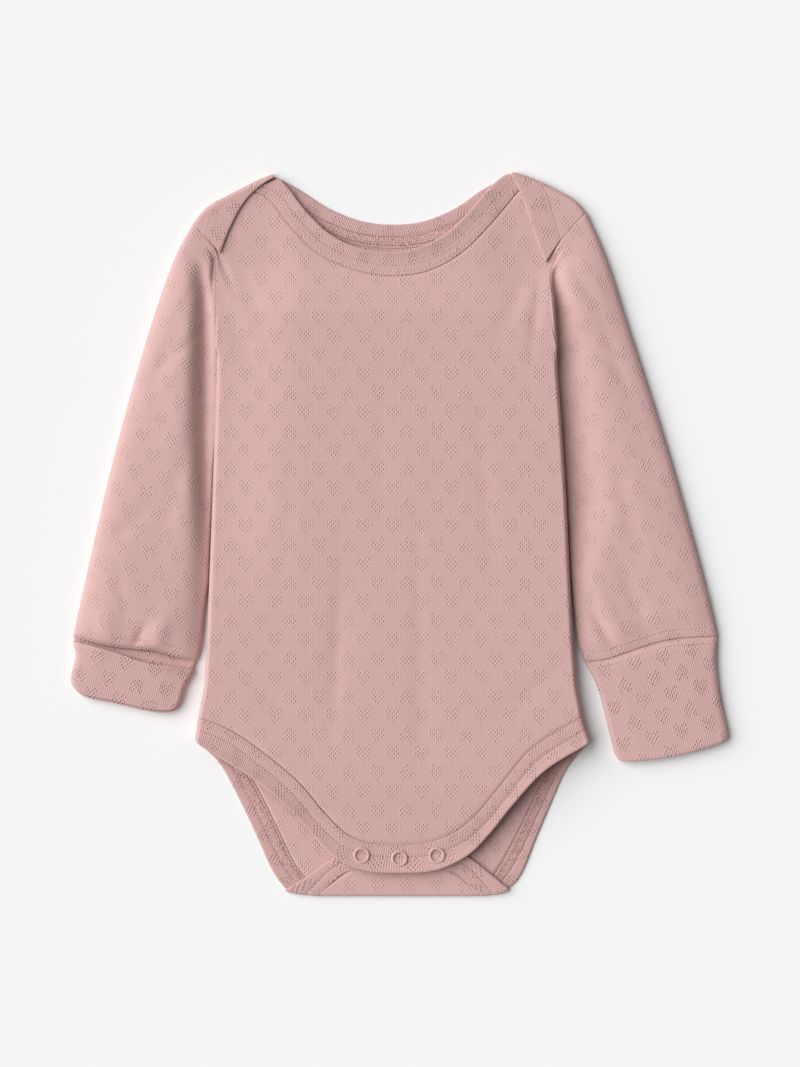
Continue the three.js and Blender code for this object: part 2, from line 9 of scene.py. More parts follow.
# %% Load the frame
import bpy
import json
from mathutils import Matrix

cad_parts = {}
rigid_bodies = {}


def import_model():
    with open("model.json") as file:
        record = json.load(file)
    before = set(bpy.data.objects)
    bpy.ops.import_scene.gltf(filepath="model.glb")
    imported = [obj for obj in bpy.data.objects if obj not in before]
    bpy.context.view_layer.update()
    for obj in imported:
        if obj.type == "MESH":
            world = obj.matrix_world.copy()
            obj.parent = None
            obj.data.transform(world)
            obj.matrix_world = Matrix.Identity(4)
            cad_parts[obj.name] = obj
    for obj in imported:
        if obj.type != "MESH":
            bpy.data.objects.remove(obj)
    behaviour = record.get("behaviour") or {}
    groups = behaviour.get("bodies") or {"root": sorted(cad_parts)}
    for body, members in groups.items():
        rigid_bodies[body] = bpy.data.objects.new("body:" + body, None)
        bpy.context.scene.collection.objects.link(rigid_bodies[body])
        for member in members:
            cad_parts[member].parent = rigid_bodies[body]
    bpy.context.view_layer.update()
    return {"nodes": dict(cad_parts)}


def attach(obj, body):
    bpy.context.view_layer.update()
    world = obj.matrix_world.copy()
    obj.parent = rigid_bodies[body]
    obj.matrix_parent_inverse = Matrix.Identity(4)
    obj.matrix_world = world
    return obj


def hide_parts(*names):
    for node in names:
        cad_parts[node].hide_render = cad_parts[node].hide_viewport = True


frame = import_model()

# %% Say what was loaded
import json
import math

import bpy
import numpy as np
from mathutils import Vector

print("pieces in the frame:", len(frame["nodes"]))

# %% [markdown]
# ## Table, camera and light
#
# The garment was photographed from above, so the camera hangs straight over it with a long lens.
# A long lens keeps the sleeves from leaning outwards. The light is a big soft window on the
# wearer's right and a little towards the neck. It could be an area lamp, but a broad sun is even
# over the whole table. It leaves a pale shadow beside the other sleeve.

# %% Camera over the middle of the picture
MM = 0.001
MM_PER_PIXEL = 0.54
PHOTO_PIXELS = (800, 1067)
CAMERA_HEIGHT = 2.4

scene = bpy.context.scene
camera_data = bpy.data.cameras.new("overhead_camera")
camera = bpy.data.objects.new("overhead_camera", camera_data)
scene.collection.objects.link(camera)
camera.location = (0, 0, CAMERA_HEIGHT)
camera_data.sensor_fit = "HORIZONTAL"
camera_data.sensor_width = 36
camera_data.lens = 36 * CAMERA_HEIGHT / (PHOTO_PIXELS[0] * MM_PER_PIXEL * MM)
camera_data.clip_end = 10
scene.camera = camera
print("lens in mm:", round(camera_data.lens))

# %% Soft window light and a pale table
WINDOW_FROM = (-0.72, 0.2, 0.66)
window_data = bpy.data.lights.new("window", "SUN")
window_data.energy = 3.86
window_data.angle = math.radians(68)
window = bpy.data.objects.new("window", window_data)
window.rotation_euler = (-Vector(WINDOW_FROM)).to_track_quat("-Z", "Y").to_euler()
scene.collection.objects.link(window)

world = bpy.data.worlds.new("white_room")
world.use_nodes = True
world.node_tree.nodes["Background"].inputs["Color"].default_value = (1, 1, 1, 1)
world.node_tree.nodes["Background"].inputs["Strength"].default_value = 0.2
scene.world = world
scene.view_settings.view_transform = "Standard"

table_mesh = bpy.data.meshes.new("table_top")
table_mesh.from_pydata([(-3, -3, 0), (3, -3, 0), (3, 3, 0), (-3, 3, 0)], [], [(0, 1, 2, 3)])
table_top = bpy.data.objects.new("table_top", table_mesh)
scene.collection.objects.link(table_top)
paint = bpy.data.materials.new("table_paint")
paint.use_nodes = True
paint.node_tree.nodes["Principled BSDF"].inputs["Base Color"].default_value = (0.9, 0.9, 0.9, 1)
paint.node_tree.nodes["Principled BSDF"].inputs["Roughness"].default_value = 0.9
paint.node_tree.nodes["Principled BSDF"].inputs["Specular IOR Level"].default_value = 0.1
table_mesh.materials.append(paint)
print("the light falls at", round(math.degrees(math.asin(Vector(WINDOW_FROM).normalized().z))), "degrees")

# %% [markdown]
# ## Drafting tools
#
# A pattern cutter marks a few points and joins them with a flexible curve. The same is done
# here: short lists of points in millimetres, joined by Catmull-Rom curves. Nets of points
# between four such edges give each panel, and a row of flat rings gives each tube.

# %% Curves through a few points
def smooth_step(value, start, end):
    share = np.clip((np.asarray(value, float) - start) / (end - start), 0, 1)
    return share * share * (3 - 2 * share)


def by_row(points, shares):
    """Places on a smooth curve, where 0 is the first row of points and 1 the last."""
    p = np.asarray(points, float)
    q = np.vstack([2 * p[0] - p[1], p, 2 * p[-1] - p[-2]])
    at = np.clip(np.asarray(shares, float), 0, 1) * (len(p) - 1)
    i = np.minimum(at.astype(int), len(p) - 2)
    t = (at - i)[:, None]
    a, b, c, d = q[i], q[i + 1], q[i + 2], q[i + 3]
    ab, bc, cd = [np.sqrt(np.linalg.norm(n - m, axis=1))[:, None] for m, n in ((a, b), (b, c), (c, d))]
    go = ((b - a) / ab - (c - a) / (ab + bc) + (c - b) / bc) * bc
    come = ((c - b) / bc - (d - b) / (bc + cd) + (d - c) / cd) * bc
    return b + go * t + (3 * (c - b) - 2 * go - come) * t**2 + (2 * (b - c) + go + come) * t**3


def lengths(points):
    """How far along a line each of its points is."""
    return np.concatenate([[0], np.cumsum(np.linalg.norm(np.diff(points, axis=0), axis=1))])


def read_off(line, run, at):
    """A line's values at some places, where run gives the place of each of its points."""
    return np.column_stack([np.interp(at, run, axis) for axis in line.T])


def by_length(points, shares, smooth=True):
    """Places at shares of a line's length."""
    dense = by_row(points, np.linspace(0, 1, 40 * len(points))) if smooth else np.asarray(points, float)
    run = lengths(dense)
    return read_off(dense, run, np.asarray(shares) * run[-1])


print("a quarter of the way along two points:", by_length([(0, 0), (4, 0)], [0.25])[0])

# %% Nets between four edges
def net(bottom, top, left, right, across, up):
    """Points between four edges; across and up say where each column and row lies, from 0 to 1."""
    u, v = np.asarray(across)[None, :, None], np.asarray(up)[:, None, None]
    corners = (bottom[0] * (1 - u) + bottom[-1] * u) * (1 - v) + (top[0] * (1 - u) + top[-1] * u) * v
    return left[:, None] * (1 - u) + right[:, None] * u + bottom[None] * (1 - v) + top[None] * v - corners


def close_at_ends(length, spacing):
    """Shares of a length, with close ones beside both ends."""
    near = np.array([0, 0.2, 0.5, 0.9, 1.4])
    middle = np.linspace(2.2, length - 2.2, int(length / spacing))
    return np.concatenate([near, middle, length - near[::-1]]) / length


def at_shares(points, shares):
    """A line's points again, at shares of their count."""
    count = np.arange(len(points))
    return read_off(points, count, shares * count[-1])


def softened(plan, corners):
    """Plan points near each (x, y, pull x, pull y, reach) pulled inwards, which rounds a corner."""
    moved = plan.copy()
    for x, y, pull_x, pull_y, reach in corners:
        away = np.hypot(plan[..., 0] - x, plan[..., 1] - y)[..., None]
        moved = moved + np.array([pull_x, pull_y]) * np.clip(1 - away / reach, 0, 1)**2
    return moved


def with_height(plan, height):
    return np.dstack([plan, np.broadcast_to(height, plan.shape[:2])])


print("rows up 100 mm, 2 mm apart:", len(close_at_ends(100, 2)))

# %% Directions
def one_long(ways):
    """Directions with a length of 1."""
    return ways / np.maximum(np.linalg.norm(ways, axis=-1, keepdims=True), 1e-9)


def on_turned_axes(x, y, degrees):
    """Places along and across a direction."""
    turn = math.radians(degrees)
    return x * math.cos(turn) + y * math.sin(turn), y * math.cos(turn) - x * math.sin(turn)


print("a sleeve's direction:", one_long(np.array([-60, -220])))

# %% [markdown]
# ## The pattern
#
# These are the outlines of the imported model, in millimetres from the middle of the garment.
# Left and right are the wearer's, so the wearer's right is at the viewer's left. A band's row
# gives a point of its free edge and the point of its seam across from it.

# %% Layers and side seams
JERSEY = 1.0
BINDING = 1.4
DOUBLED = 1.6
BACK = JERSEY / 2
BACK_BAND = BINDING / 2
FRONT = 4.1
UNDER_LAP = 2.4
TAB = 2.7
SNAP_LIFT = 1.5
ROLL = (FRONT - BACK) / 2
ROLL_CENTRE = (FRONT + BACK) / 2

SIDES = np.array([
    # y, right, left
    (99, -98.6, 84.2), (60, -99.8, 87.2), (18, -101.3, 89.8), (-25, -102.9, 91.8),
    (-58, -104.2, 93.4), (-82, -105.6, 95.4), (-99, -108.9, 98.6), (-112.4, -110.9, 102.8)])
UNDERARM, LEG_TOP = 99, -99
SIDE_COLUMN = {"right": 1, "left": 2}
INWARD = {"right": 1, "left": -1}


def side_x(y, side):
    return np.interp(y, SIDES[::-1, 0], SIDES[::-1, SIDE_COLUMN[side]])


print("width below the arms in mm:", side_x(UNDERARM, "left") - side_x(UNDERARM, "right"))

# %% Armholes, shoulder folds and laps
ARMHOLE = {
    "right": [(-111.3, 168.1), (-104.2, 159.7), (-98.1, 150.3), (-97.7, 136), (-98.6, 99)],
    "left": [(100.3, 173.5), (92.3, 165.9), (82.9, 152.4), (78.4, 140.5), (80, 123), (81.6, 110), (84.2, 99)]}
SHOULDER = {
    "right": [(-111.3, 168.1), (-104.8, 175.6), (-90.7, 184), (-76, 192.4), (-68.6, 194.8)],
    "left": [(100.3, 173.5), (93.9, 180.1), (77.7, 189.1), (66.9, 194.3), (60.5, 195.9)]}
BAND_FROM = {"right": 0.31, "left": 0.6}
FOLD_START = 0.033
LAP = {
    "right": np.array([
        (-96.9, 151.3, -106.1, 161.9), (-92.2, 163.3, -104.9, 167.5),
        (-84.9, 177.2, -103.4, 171.6), (-78.4, 184.8, -101.6, 174.6)]),
    "left": np.array([
        (78.4, 146.2, 86.5, 158.6), (74.6, 155.3, 84.6, 165.4),
        (69.3, 171.4, 81.6, 174.6), (65.6, 182.4, 79.2, 182.6)])}
print("straight length of each shoulder fold in mm:",
      [round(math.dist(fold[0], fold[-1])) for fold in SHOULDER.values()])

# %% Neck and leg bands
BACK_NECK = np.array([
    (-61, 189.4, -82, 175.6), (-52.4, 184.3, -61, 172.4), (-38.9, 175.6, -44.8, 163.8),
    (-21, 168.6, -25, 156.2), (-4.3, 166.7, -4.3, 153.8), (12, 168.4, 16, 156),
    (29.7, 175.6, 36.5, 164.3), (44, 185.4, 53, 175.4)])
FRONT_NECK = np.array([
    (-64.8, 191.5, -80.5, 185.2), (-59.5, 185.4, -70.8, 181), (-51.4, 174.6, -61.4, 169),
    (-38.6, 162.1, -46.6, 153.2), (-24.9, 154.9, -29.6, 144), (-10.3, 152.3, -12.4, 139.5),
    (2, 152.5, 4, 139.3), (14, 155.8, 19.2, 143.2), (26.8, 163.4, 35, 153),
    (37.2, 173.6, 47.9, 166), (45.8, 183.8, 58.3, 178.2), (52.6, 190.6, 63.6, 184.6),
    (57.8, 193.8, 67.4, 187.2), (62.6, 193.4, 70.2, 187)])
FRONT_LEG = np.array([
    (-110.9, -112.4, -108.9, -99), (-96.2, -120.9, -91.6, -105.8), (-78.9, -132.1, -71.5, -119.6),
    (-62, -146.1, -53.6, -135), (-48.6, -160.4, -39.4, -151.8), (-35.4, -174.2, -27.6, -162.6),
    (-20, -181.2, -14.6, -166.9), (0, -182.7, 0, -167.9), (20, -181, 15.4, -166.6),
    (37.2, -172.7, 29.2, -161.4), (48.4, -161.4, 40.4, -152.4), (60.6, -146, 52.6, -137.8),
    (77.5, -127.8, 70.2, -116.8), (102.8, -112.4, 98.6, -99)])
BACK_LEG = {
    "right": np.array([
        (-110.9, -112.4, -108.9, -99), (-98.8, -122.4, -90.4, -117.2), (-87.6, -142, -77.4, -136.8),
        (-77.6, -163, -66.4, -158.6), (-68.6, -182.6, -55.4, -180.4), (-61.8, -192.3, -43.2, -194)]),
    "left": np.array([
        (102.8, -112.4, 98.6, -99), (90.2, -126.8, 82.4, -124), (81.2, -146, 71.8, -145),
        (73.4, -164.4, 62.4, -164.2), (66, -182.6, 52.8, -181.6), (59.6, -192.4, 43.2, -194)])}
CROTCH_TAB = np.array([
    (-61.8, -192.3, -43.2, -194), (-48.1, -183.4, -36.6, -188.2), (-36.4, -175, -30, -183),
    (-28, -170.6, -25.6, -182), (0, -169.6, 0, -181.8), (28, -170.8, 25.6, -182),
    (37, -174.6, 30, -183), (48.6, -183.4, 36.6, -188.2), (59.6, -192.4, 43.2, -194)])
print("band rows by hand:", sum(len(rows) for rows in (BACK_NECK, FRONT_NECK, FRONT_LEG, CROTCH_TAB)))

# %% Sleeves and cuffs
SLEEVE_OUTER = {
    "right": [(-111.3, 168.1), (-121, 149.7), (-133.4, 115.2), (-153.1, 46), (-171.2, -31.7),
              (-176.3, -55.5)],
    "left": [(100.3, 173.5), (110.7, 149.7), (122, 115.2), (144.2, 46), (165.8, -31.7), (171.2, -54.9)]}
SLEEVE_END = {
    "right": [(-176.3, -55.5), (-157.2, -60.3), (-139.6, -62.1), (-130.5, -63.2), (-119, -66.4),
              (-109.8, -68.4)],
    "left": [(171.2, -54.9), (144.5, -56.9), (124, -63), (111, -67.4), (99.3, -68.7)]}
SLEEVE_INNER_END = {
    "right": [(-105.4, -42), (-107.4, -60.9), (-109.8, -69)],
    "left": [(94, -44), (96.2, -60.9), (99.3, -68.7)]}
TUCK = 0.3
TUCKED_TO = -25
STRAIGHT_CUFF = {
    "outer": [(171.2, -55.2), (170.5, -66), (172.6, -87), (178.1, -111.5)],
    "inner": [(99.4, -69), (105.8, -81.2), (111.8, -102.9), (116.6, -123.6)],
    "hem": [(178.1, -111.5), (156.2, -118.1), (138.6, -121.6), (116.6, -123.6)]}
TURNED_CUFF = {
    "outer": [(-176.6, -57.6), (-175, -65), (-177.9, -79.5), (-176.6, -87.4)],
    "inner": [(-110.4, -73.6), (-115.6, -82.1), (-119.3, -97.4)],
    "fold": [(-176.6, -87.4), (-156.1, -91), (-134.1, -95.9), (-119.3, -97.4)],
    "lip": [(-176.8, -57.2), (-156.6, -62.9), (-148, -65.6), (-140.4, -68.4), (-131.8, -70.3), (-119, -71.9),
            (-110.4, -73.4)]}
SNAPS = [(-20.7, -173.2), (-0.3, -174.9), (19.8, -173.2)]
print("sleeve and cuff points by hand:", sum(
    len(line) for table in (SLEEVE_OUTER, SLEEVE_END, SLEEVE_INNER_END, STRAIGHT_CUFF, TURNED_CUFF)
    for line in table.values()))

# %% [markdown]
# ## How high the cloth lies
#
# Jersey laid flat is not a board. The front settles on to the back at the neck, rises where it
# is snapped over the tab, and rolls over at the sides. A few long soft troughs stay where the
# arms and the crotch pull on it. A cloth simulation could fold it, but other folds would come
# out than the real ones, so each trough is listed, with its own length and depth.

# %% Soft troughs
TROUGHS = [
    # x, y, heading in degrees, length, width, depth
    (-80, 128, -70, 56, 13, 0.5), (62, 126, -112, 60, 13, 0.5), (-126, 96, 64, 48, 11, 0.7),
    (-118, 34, 76, 76, 12, 0.6), (-148, 2, 42, 44, 12, 0.6), (117, 92, 112, 50, 12, 0.7),
    (122, 14, 104, 70, 12, 0.6), (140, -34, 150, 38, 9, 0.5), (-34, -66, 82, 110, 22, 0.5),
    (12, -96, 92, 84, 20, 0.5), (-70, -88, -38, 50, 13, 0.5), (72, -84, -140, 50, 13, 0.5)]


def trough_depth(x, y, troughs):
    depth = np.zeros_like(x)
    for at_x, at_y, heading, length, width, deep in troughs:
        on, off = on_turned_axes(x - at_x, y - at_y, heading)
        depth += deep * np.exp(-1.5 * ((on / (length / 2))**2 + (off / (width / 2))**2))
    return depth


print("troughs shared by the front and the sleeves:", len(TROUGHS))

# %% Front heights
NECK_FALL = (112, 142)
NECK_MIDDLE = -6
NECK_HALF_WIDTH = (46, 70)
CROTCH_RISE = (-140, -165)
CROTCH_WIDTH = (62, 30)
BODY_PUFF = 6.0
PUFF_FADES_UP = (150, 116)
PUFF_FADES_DOWN = (-172, -134)
PUFF_LEFT_AT_CROTCH = 0.25
RIGHT_SETTLES = 0.5
SETTLES_FROM_SIDE = (46, 2)
SETTLES_UP = (-60, 20)
ROLL_BEGINS_OVER = 14


def front_height(x, y):
    under_laps = 0.2 + 0.8 * smooth_step(np.abs(x - NECK_MIDDLE), *NECK_HALF_WIDTH)
    fall = (FRONT - UNDER_LAP) * smooth_step(y, *NECK_FALL) * under_laps
    rise = SNAP_LIFT * smooth_step(y, *CROTCH_RISE) * smooth_step(np.abs(x), *CROTCH_WIDTH)
    beside = smooth_step(x - side_x(y, "right"), *SETTLES_FROM_SIDE)
    settled = 1 - RIGHT_SETTLES * beside * smooth_step(y, *SETTLES_UP)
    lower = PUFF_LEFT_AT_CROTCH + (1 - PUFF_LEFT_AT_CROTCH) * smooth_step(y, *PUFF_FADES_DOWN)
    return FRONT - fall + rise + BODY_PUFF * settled * smooth_step(y, *PUFF_FADES_UP) * lower


def rolled(x, y, height, thickness):
    """The height of a layer carried round the rolled edge along the body's sides."""
    from_side = np.minimum(x - side_x(y, "right"), side_x(y, "left") - x) - thickness / 2
    left = np.clip(1 - from_side / ROLL, 0, 1)
    round_height = ROLL_CENTRE + (height - ROLL_CENTRE) * np.sqrt(1 - left**2)
    return height + (round_height - height) * smooth_step(y, UNDERARM, UNDERARM - ROLL_BEGINS_OVER)


print("front at the chest and at the crotch:", front_height(np.zeros(2), np.array([0, -170])))

# %% [markdown]
# ## Turning nets into cloth
#
# A net is a grid of points with no thickness. Each point also carries how thick the cloth is on
# either side and where it lies in the knitting, so that a net can be cut, turned and folded
# without losing either. A Solidify modifier could thicken it evenly, but bindings are thinner at
# their edges, so the last step gives each net its own two faces and a wall round its open edges.

# %% Shells of cloth
def layer(points, half_thickness, knit):
    """A net that carries half its thickness, and its place in the knitting in mm."""
    return np.dstack([points, np.broadcast_to(half_thickness, points.shape[:2]), knit])


def net_normals(points, tube):
    if tube:
        points = np.hstack([points[:, -1:], points, points[:, :1]])
    along = np.gradient(points, axis=1)
    normals = np.cross(along, np.gradient(points, axis=0))
    return one_long(normals[:, 1:-1] if tube else normals)


def shell(net_layer, tube=False):
    """Corner points, faces and knitting places of a closed shell round a net."""
    rows, columns = net_layer.shape[:2]
    points, half, knit = net_layer[..., :3], net_layer[..., 3:4], net_layer[..., 4:]
    out = net_normals(points, tube) * half
    at = np.arange(rows * columns).reshape(rows, columns)
    at = np.hstack([at, at[:, :1]]) if tube else at
    upper = np.stack([at[:-1, :-1], at[:-1, 1:], at[1:, 1:], at[1:, :-1]], axis=-1).reshape(-1, 4)
    edges = [(at[0, 1:], at[0, :-1]), (at[-1, :-1], at[-1, 1:])]
    if not tube:
        edges += [(at[1:, -1], at[:-1, -1]), (at[:-1, 0], at[1:, 0])]
    count = rows * columns
    walls = [np.column_stack([a, b, b + count, a + count]) for a, b in edges]
    corners = np.vstack([(points + out).reshape(-1, 3), (points - out).reshape(-1, 3)])
    return corners, np.vstack([upper, upper[:, ::-1] + count, *walls]), np.tile(knit.reshape(-1, 2), (2, 1))


def piece(name, shells, material, stands_for=()):
    """One object of one or more shells. It rides with the garment and takes a CAD piece's place."""
    starts = np.cumsum([0] + [len(corners) for corners, _, _ in shells])
    corners = np.vstack([part[0] for part in shells]) * MM
    faces = np.vstack([part[1] + start for part, start in zip(shells, starts)])
    mesh = bpy.data.meshes.new(name)
    mesh.from_pydata(corners.tolist(), [], faces.tolist())
    places = np.vstack([part[2] for part in shells])
    corner_of = np.empty(len(mesh.loops), int)
    mesh.loops.foreach_get("vertex_index", corner_of)
    mesh.uv_layers.new(name="Cloth").data.foreach_set("uv", places[corner_of].ravel())
    mesh.materials.append(material)
    mesh.shade_smooth()
    thing = bpy.data.objects.new(name, mesh)
    scene.collection.objects.link(thing)
    if stands_for:
        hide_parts(*stands_for)
    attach(thing, "root")
    area = sum(polygon.area for polygon in mesh.polygons) / 2
    print(f"{name}: {2 * len(faces)} triangles, {area:.4f} square metres of cloth")
    return thing


print("cloth thicknesses in mm:", JERSEY, BINDING, DOUBLED)

# %% Allowances and folds
def tucked(net_layer, edge, drop, reach=3.2):
    """The net with a thin seam allowance past one edge, slipping under the piece sewn there."""
    turned = net_layer.transpose(1, 0, 2) if edge in ("left", "right") else net_layer
    turned = turned[::-1] if edge in ("last", "right") else turned
    way = one_long(turned[0, :, :2] - turned[1, :, :2])
    reach = np.broadcast_to(reach, len(way))[:, None]
    added = []
    for share in (1, 0.7, 0.42, 0.18):
        row = turned[0].copy()
        row[:, :2] += way * reach * share
        row[:, 4:] += way * reach * share
        row[:, 2] -= drop * smooth_step(share, 0, 0.7) * np.minimum(1, reach[:, 0])
        row[:, 3] *= 1 - 0.5 * smooth_step(share, 0, 0.42)
        added.append(row)
    turned = np.concatenate([added, turned])
    turned = turned[::-1] if edge in ("last", "right") else turned
    return turned.transpose(1, 0, 2) if edge in ("left", "right") else turned


def folded_over(row, outward, lower, upper, steps=12):
    """A row carried round a fold, from the lower layer to the upper one."""
    radius = (upper - lower) / 2
    turn = np.linspace(0, math.pi, steps + 1)[:, None]
    outward = np.broadcast_to(outward, (len(row), 2))
    x = row[:, 0] + outward[:, 0] * radius * np.sin(turn)
    y = row[:, 1] + outward[:, 1] * radius * np.sin(turn)
    z = np.broadcast_to((upper + lower) / 2 - radius * np.cos(turn), x.shape)
    return np.dstack([x, y, z])


def off_roll(steps, length, both_ends=False):
    """Shares of a line, with close ones where it comes off the rolled side edge."""
    close = ROLL * (1 - np.cos(np.radians(np.arange(0, 91, 10)))) / length
    end = 1 - close[-1] if both_ends else 1
    middle = np.linspace(close[-1], end, steps + 1)[1:]
    return np.concatenate([close, middle, 1 - close[::-1][1:]] if both_ends else [close, middle])


def kept_inside(rows, thickness):
    """A band's rows, kept inside the side edges by half the cloth."""
    rows = np.array(rows, float)
    for x, y in ((0, 1), (2, 3)):
        low = side_x(rows[:, y], "right") + thickness / 2
        rows[:, x] = np.clip(rows[:, x], low, side_x(rows[:, y], "left") - thickness / 2)
    return rows


print("rows off the side roll:", len(off_roll(40, 190, True)))

# %% [markdown]
# ## Knitting and thread
#
# The cloth is pointelle: a fine jersey in which moved stitches leave small holes, here nineteen
# to a heart. A chart gives the holes of half a heart, and the pattern repeats in two kinds of
# row, one of upright hearts and one of hearts that point up and down by turns. The holes could be
# cut from the mesh, but there are thousands, so the material draws them, the wales and the ribs
# from the cloth's own places. It paints each hole darker as painted shade, the furrows between
# the wales darker as painted shade, and each hole's rim lighter as a painted highlight.

# %% Colours, gauge and chart
PINK = (0.655, 0.418, 0.402)
PINK_SHADE = (0.36, 0.17, 0.16)
# the thread's pink is lighter than the cloth's, a painted highlight on the raised stitches
LIT_THREAD_PINK = (0.74, 0.50, 0.48)
WALE = 1.15
COURSE = 0.95
RIB = 1.1
HEART_ACROSS = 15.8
HEART_UP = 10.2
EYELET_STEP = (1.08, 1.25)
HOLE_TALL = 0.75
FIRST_HEART = (-3.8, 100.9)
HALF_HEART = [(2, 0), (1, 1), (3, 1), (0, 2), (2, 2), (1, 3), (3, 3), (0, 4), (2, 4), (1, 5), (0, 6)]
HEART_MIDDLE = 3
print("holes in a heart:", sum(1 if step == 0 else 2 for step, _ in HALF_HEART))

# %% A material drawn with sums
class Drawing:
    """Node graph of one material, written like sums."""

    def __init__(self, name, roughness):
        self.material = bpy.data.materials.new(name)
        self.material.use_nodes = True
        self.tree = self.material.node_tree
        self.shader = self.tree.nodes["Principled BSDF"]
        self.shader.inputs["Roughness"].default_value = roughness
        self.shader.inputs["Specular IOR Level"].default_value = 0.25

    def node(self, kind, values=(), **settings):
        made = self.tree.nodes.new(kind)
        for setting, value in settings.items():
            setattr(made, setting, value)
        for socket, value in zip(made.inputs, values):
            if isinstance(value, bpy.types.NodeSocket):
                self.tree.links.new(value, socket)
            elif value is not None:
                socket.default_value = value
        return made

    def sum(self, operation, *values):
        return self.node("ShaderNodeMath", values, operation=operation).outputs[0]

    def plus(self, total, value, share):
        return self.sum("ADD", total, self.sum("MULTIPLY", value, share))

    def slope(self, value, start, end, low=0.0, high=1.0):
        made = self.node("ShaderNodeMapRange", (value, start, end, low, high))
        made.interpolation_type = "SMOOTHSTEP"
        return made.outputs[0]

    def wave(self, place, pitch):
        return self.sum("COSINE", self.sum("MULTIPLY", place, 2 * math.pi / pitch))

    def places(self):
        cloth = self.node("ShaderNodeUVMap", uv_map="Cloth").outputs[0]
        apart = self.node("ShaderNodeSeparateXYZ", (cloth,))
        return cloth, apart.outputs[0], apart.outputs[1]

    def blotches(self, cloth, scale, detail=2.0):
        made = self.node("ShaderNodeTexNoise", noise_dimensions="2D")
        self.tree.links.new(cloth, made.inputs["Vector"])
        made.inputs["Scale"].default_value = scale
        made.inputs["Detail"].default_value = detail
        return made.outputs[0]

    def finish(self, shade, height, strength, colour=PINK):
        mix = self.node("ShaderNodeMix", data_type="RGBA")
        self.tree.links.new(shade, mix.inputs["Factor"])
        mix.inputs[6].default_value = (*colour, 1)
        mix.inputs[7].default_value = (*PINK_SHADE, 1)
        self.tree.links.new(mix.outputs[2], self.shader.inputs["Base Color"])
        bump = self.node("ShaderNodeBump")
        bump.inputs["Strength"].default_value = strength
        bump.inputs["Distance"].default_value = MM
        self.tree.links.new(height, bump.inputs["Height"])
        self.tree.links.new(bump.outputs[0], self.shader.inputs["Normal"])
        return self.material


print("bump of the knitting in metres:", MM)

# %% Holes of the hearts
def heart_holes(drawing, u, v):
    """How far the nearest hole of the heart chart is, in mm."""
    u = drawing.sum("SUBTRACT", u, FIRST_HEART[0])
    level = drawing.sum("DIVIDE", drawing.sum("SUBTRACT", v, FIRST_HEART[1]), HEART_UP)
    row = drawing.sum("FLOOR", level)
    turns = drawing.sum("FLOORED_MODULO", row, 2.0)
    across = drawing.sum("ADD", u, drawing.sum("MULTIPLY", turns, HEART_ACROSS / 2))
    column = drawing.sum("ROUND", drawing.sum("DIVIDE", across, HEART_ACROSS))
    x = drawing.sum("SUBTRACT", across, drawing.sum("MULTIPLY", column, HEART_ACROSS))
    above = drawing.sum("SUBTRACT", drawing.sum("SUBTRACT", level, row), 0.5)
    y = drawing.sum("MULTIPLY", above, HEART_UP)
    inverted = drawing.sum("MULTIPLY", turns, drawing.sum("FLOORED_MODULO", column, 2.0))
    y = drawing.sum("MULTIPLY", y, drawing.sum("SUBTRACT", 1.0, drawing.sum("MULTIPLY", inverted, 2.0)))
    mirrored, squeezed = drawing.sum("ABSOLUTE", x), drawing.sum("MULTIPLY", y, HOLE_TALL)
    place = drawing.node("ShaderNodeCombineXYZ", (mirrored, squeezed)).outputs[0]
    nearest = None
    for step, fall in HALF_HEART:
        hole = (step * EYELET_STEP[0], (HEART_MIDDLE - fall) * EYELET_STEP[1] * HOLE_TALL, 0)
        away = drawing.node("ShaderNodeVectorMath", (place, hole), operation="DISTANCE").outputs["Value"]
        nearest = away if nearest is None else drawing.sum("MINIMUM", nearest, away)
    return nearest


print("one heart takes, in mm:", HEART_ACROSS, "by", HEART_UP)

# %% Jersey, binding, thread and enamel
def openwork(name, pitch, wale_shade, wale_height, hole_shade, hole_depth):
    """Pink cloth with heart holes, and wales or ribs of a pitch, shade and height in mm."""
    drawing = Drawing(name, 0.92)
    cloth, u, v = drawing.places()
    away = heart_holes(drawing, u, v)
    uneven = drawing.slope(drawing.blotches(cloth, 0.7, 2), 0.3, 0.7, 0.25, 1.35)
    hole = drawing.sum("MULTIPLY", drawing.slope(away, 0.12, 0.6, 1, 0), uneven)
    # the raised rim round each hole, used in the bump and as a painted highlight
    rim_bump_and_highlight = drawing.sum("MULTIPLY", drawing.slope(away, 0.45, 0.75), drawing.slope(away, 1.25, 0.75))
    rim_bump_and_highlight = drawing.sum("MULTIPLY", rim_bump_and_highlight, uneven)
    wale = drawing.wave(u, pitch)
    course = drawing.wave(v, COURSE)
    fuzz = drawing.blotches(cloth, 2.2, 3)
    broad = drawing.blotches(cloth, 0.03, 2)
    # painted shade: each heart hole is darkened, as the shadow seen through it
    shade = drawing.sum("MULTIPLY", hole, hole_shade)
    # painted shade in the furrows between the wales or ribs
    furrow_shade = drawing.slope(wale, 0.2, -1.0)
    # the rims get a painted highlight, the furrows painted shade, and fuzz and broad give the cloth's own
    # uneven tone
    for value, share in ((rim_bump_and_highlight, -0.14), (furrow_shade, wale_shade), (fuzz, 0.11), (broad, 0.06)):
        shade = drawing.plus(shade, value, share)
    height = drawing.sum("MULTIPLY", wale, wale_height)
    for value, share in ((course, 0.02), (fuzz, 0.12), (rim_bump_and_highlight, 0.12), (hole, -hole_depth)):
        height = drawing.plus(height, value, share)
    drawing.shader.inputs["Sheen Weight"].default_value = 0.12
    drawing.shader.inputs["Sheen Roughness"].default_value = 0.5
    return drawing.finish(shade, height, 0.8)


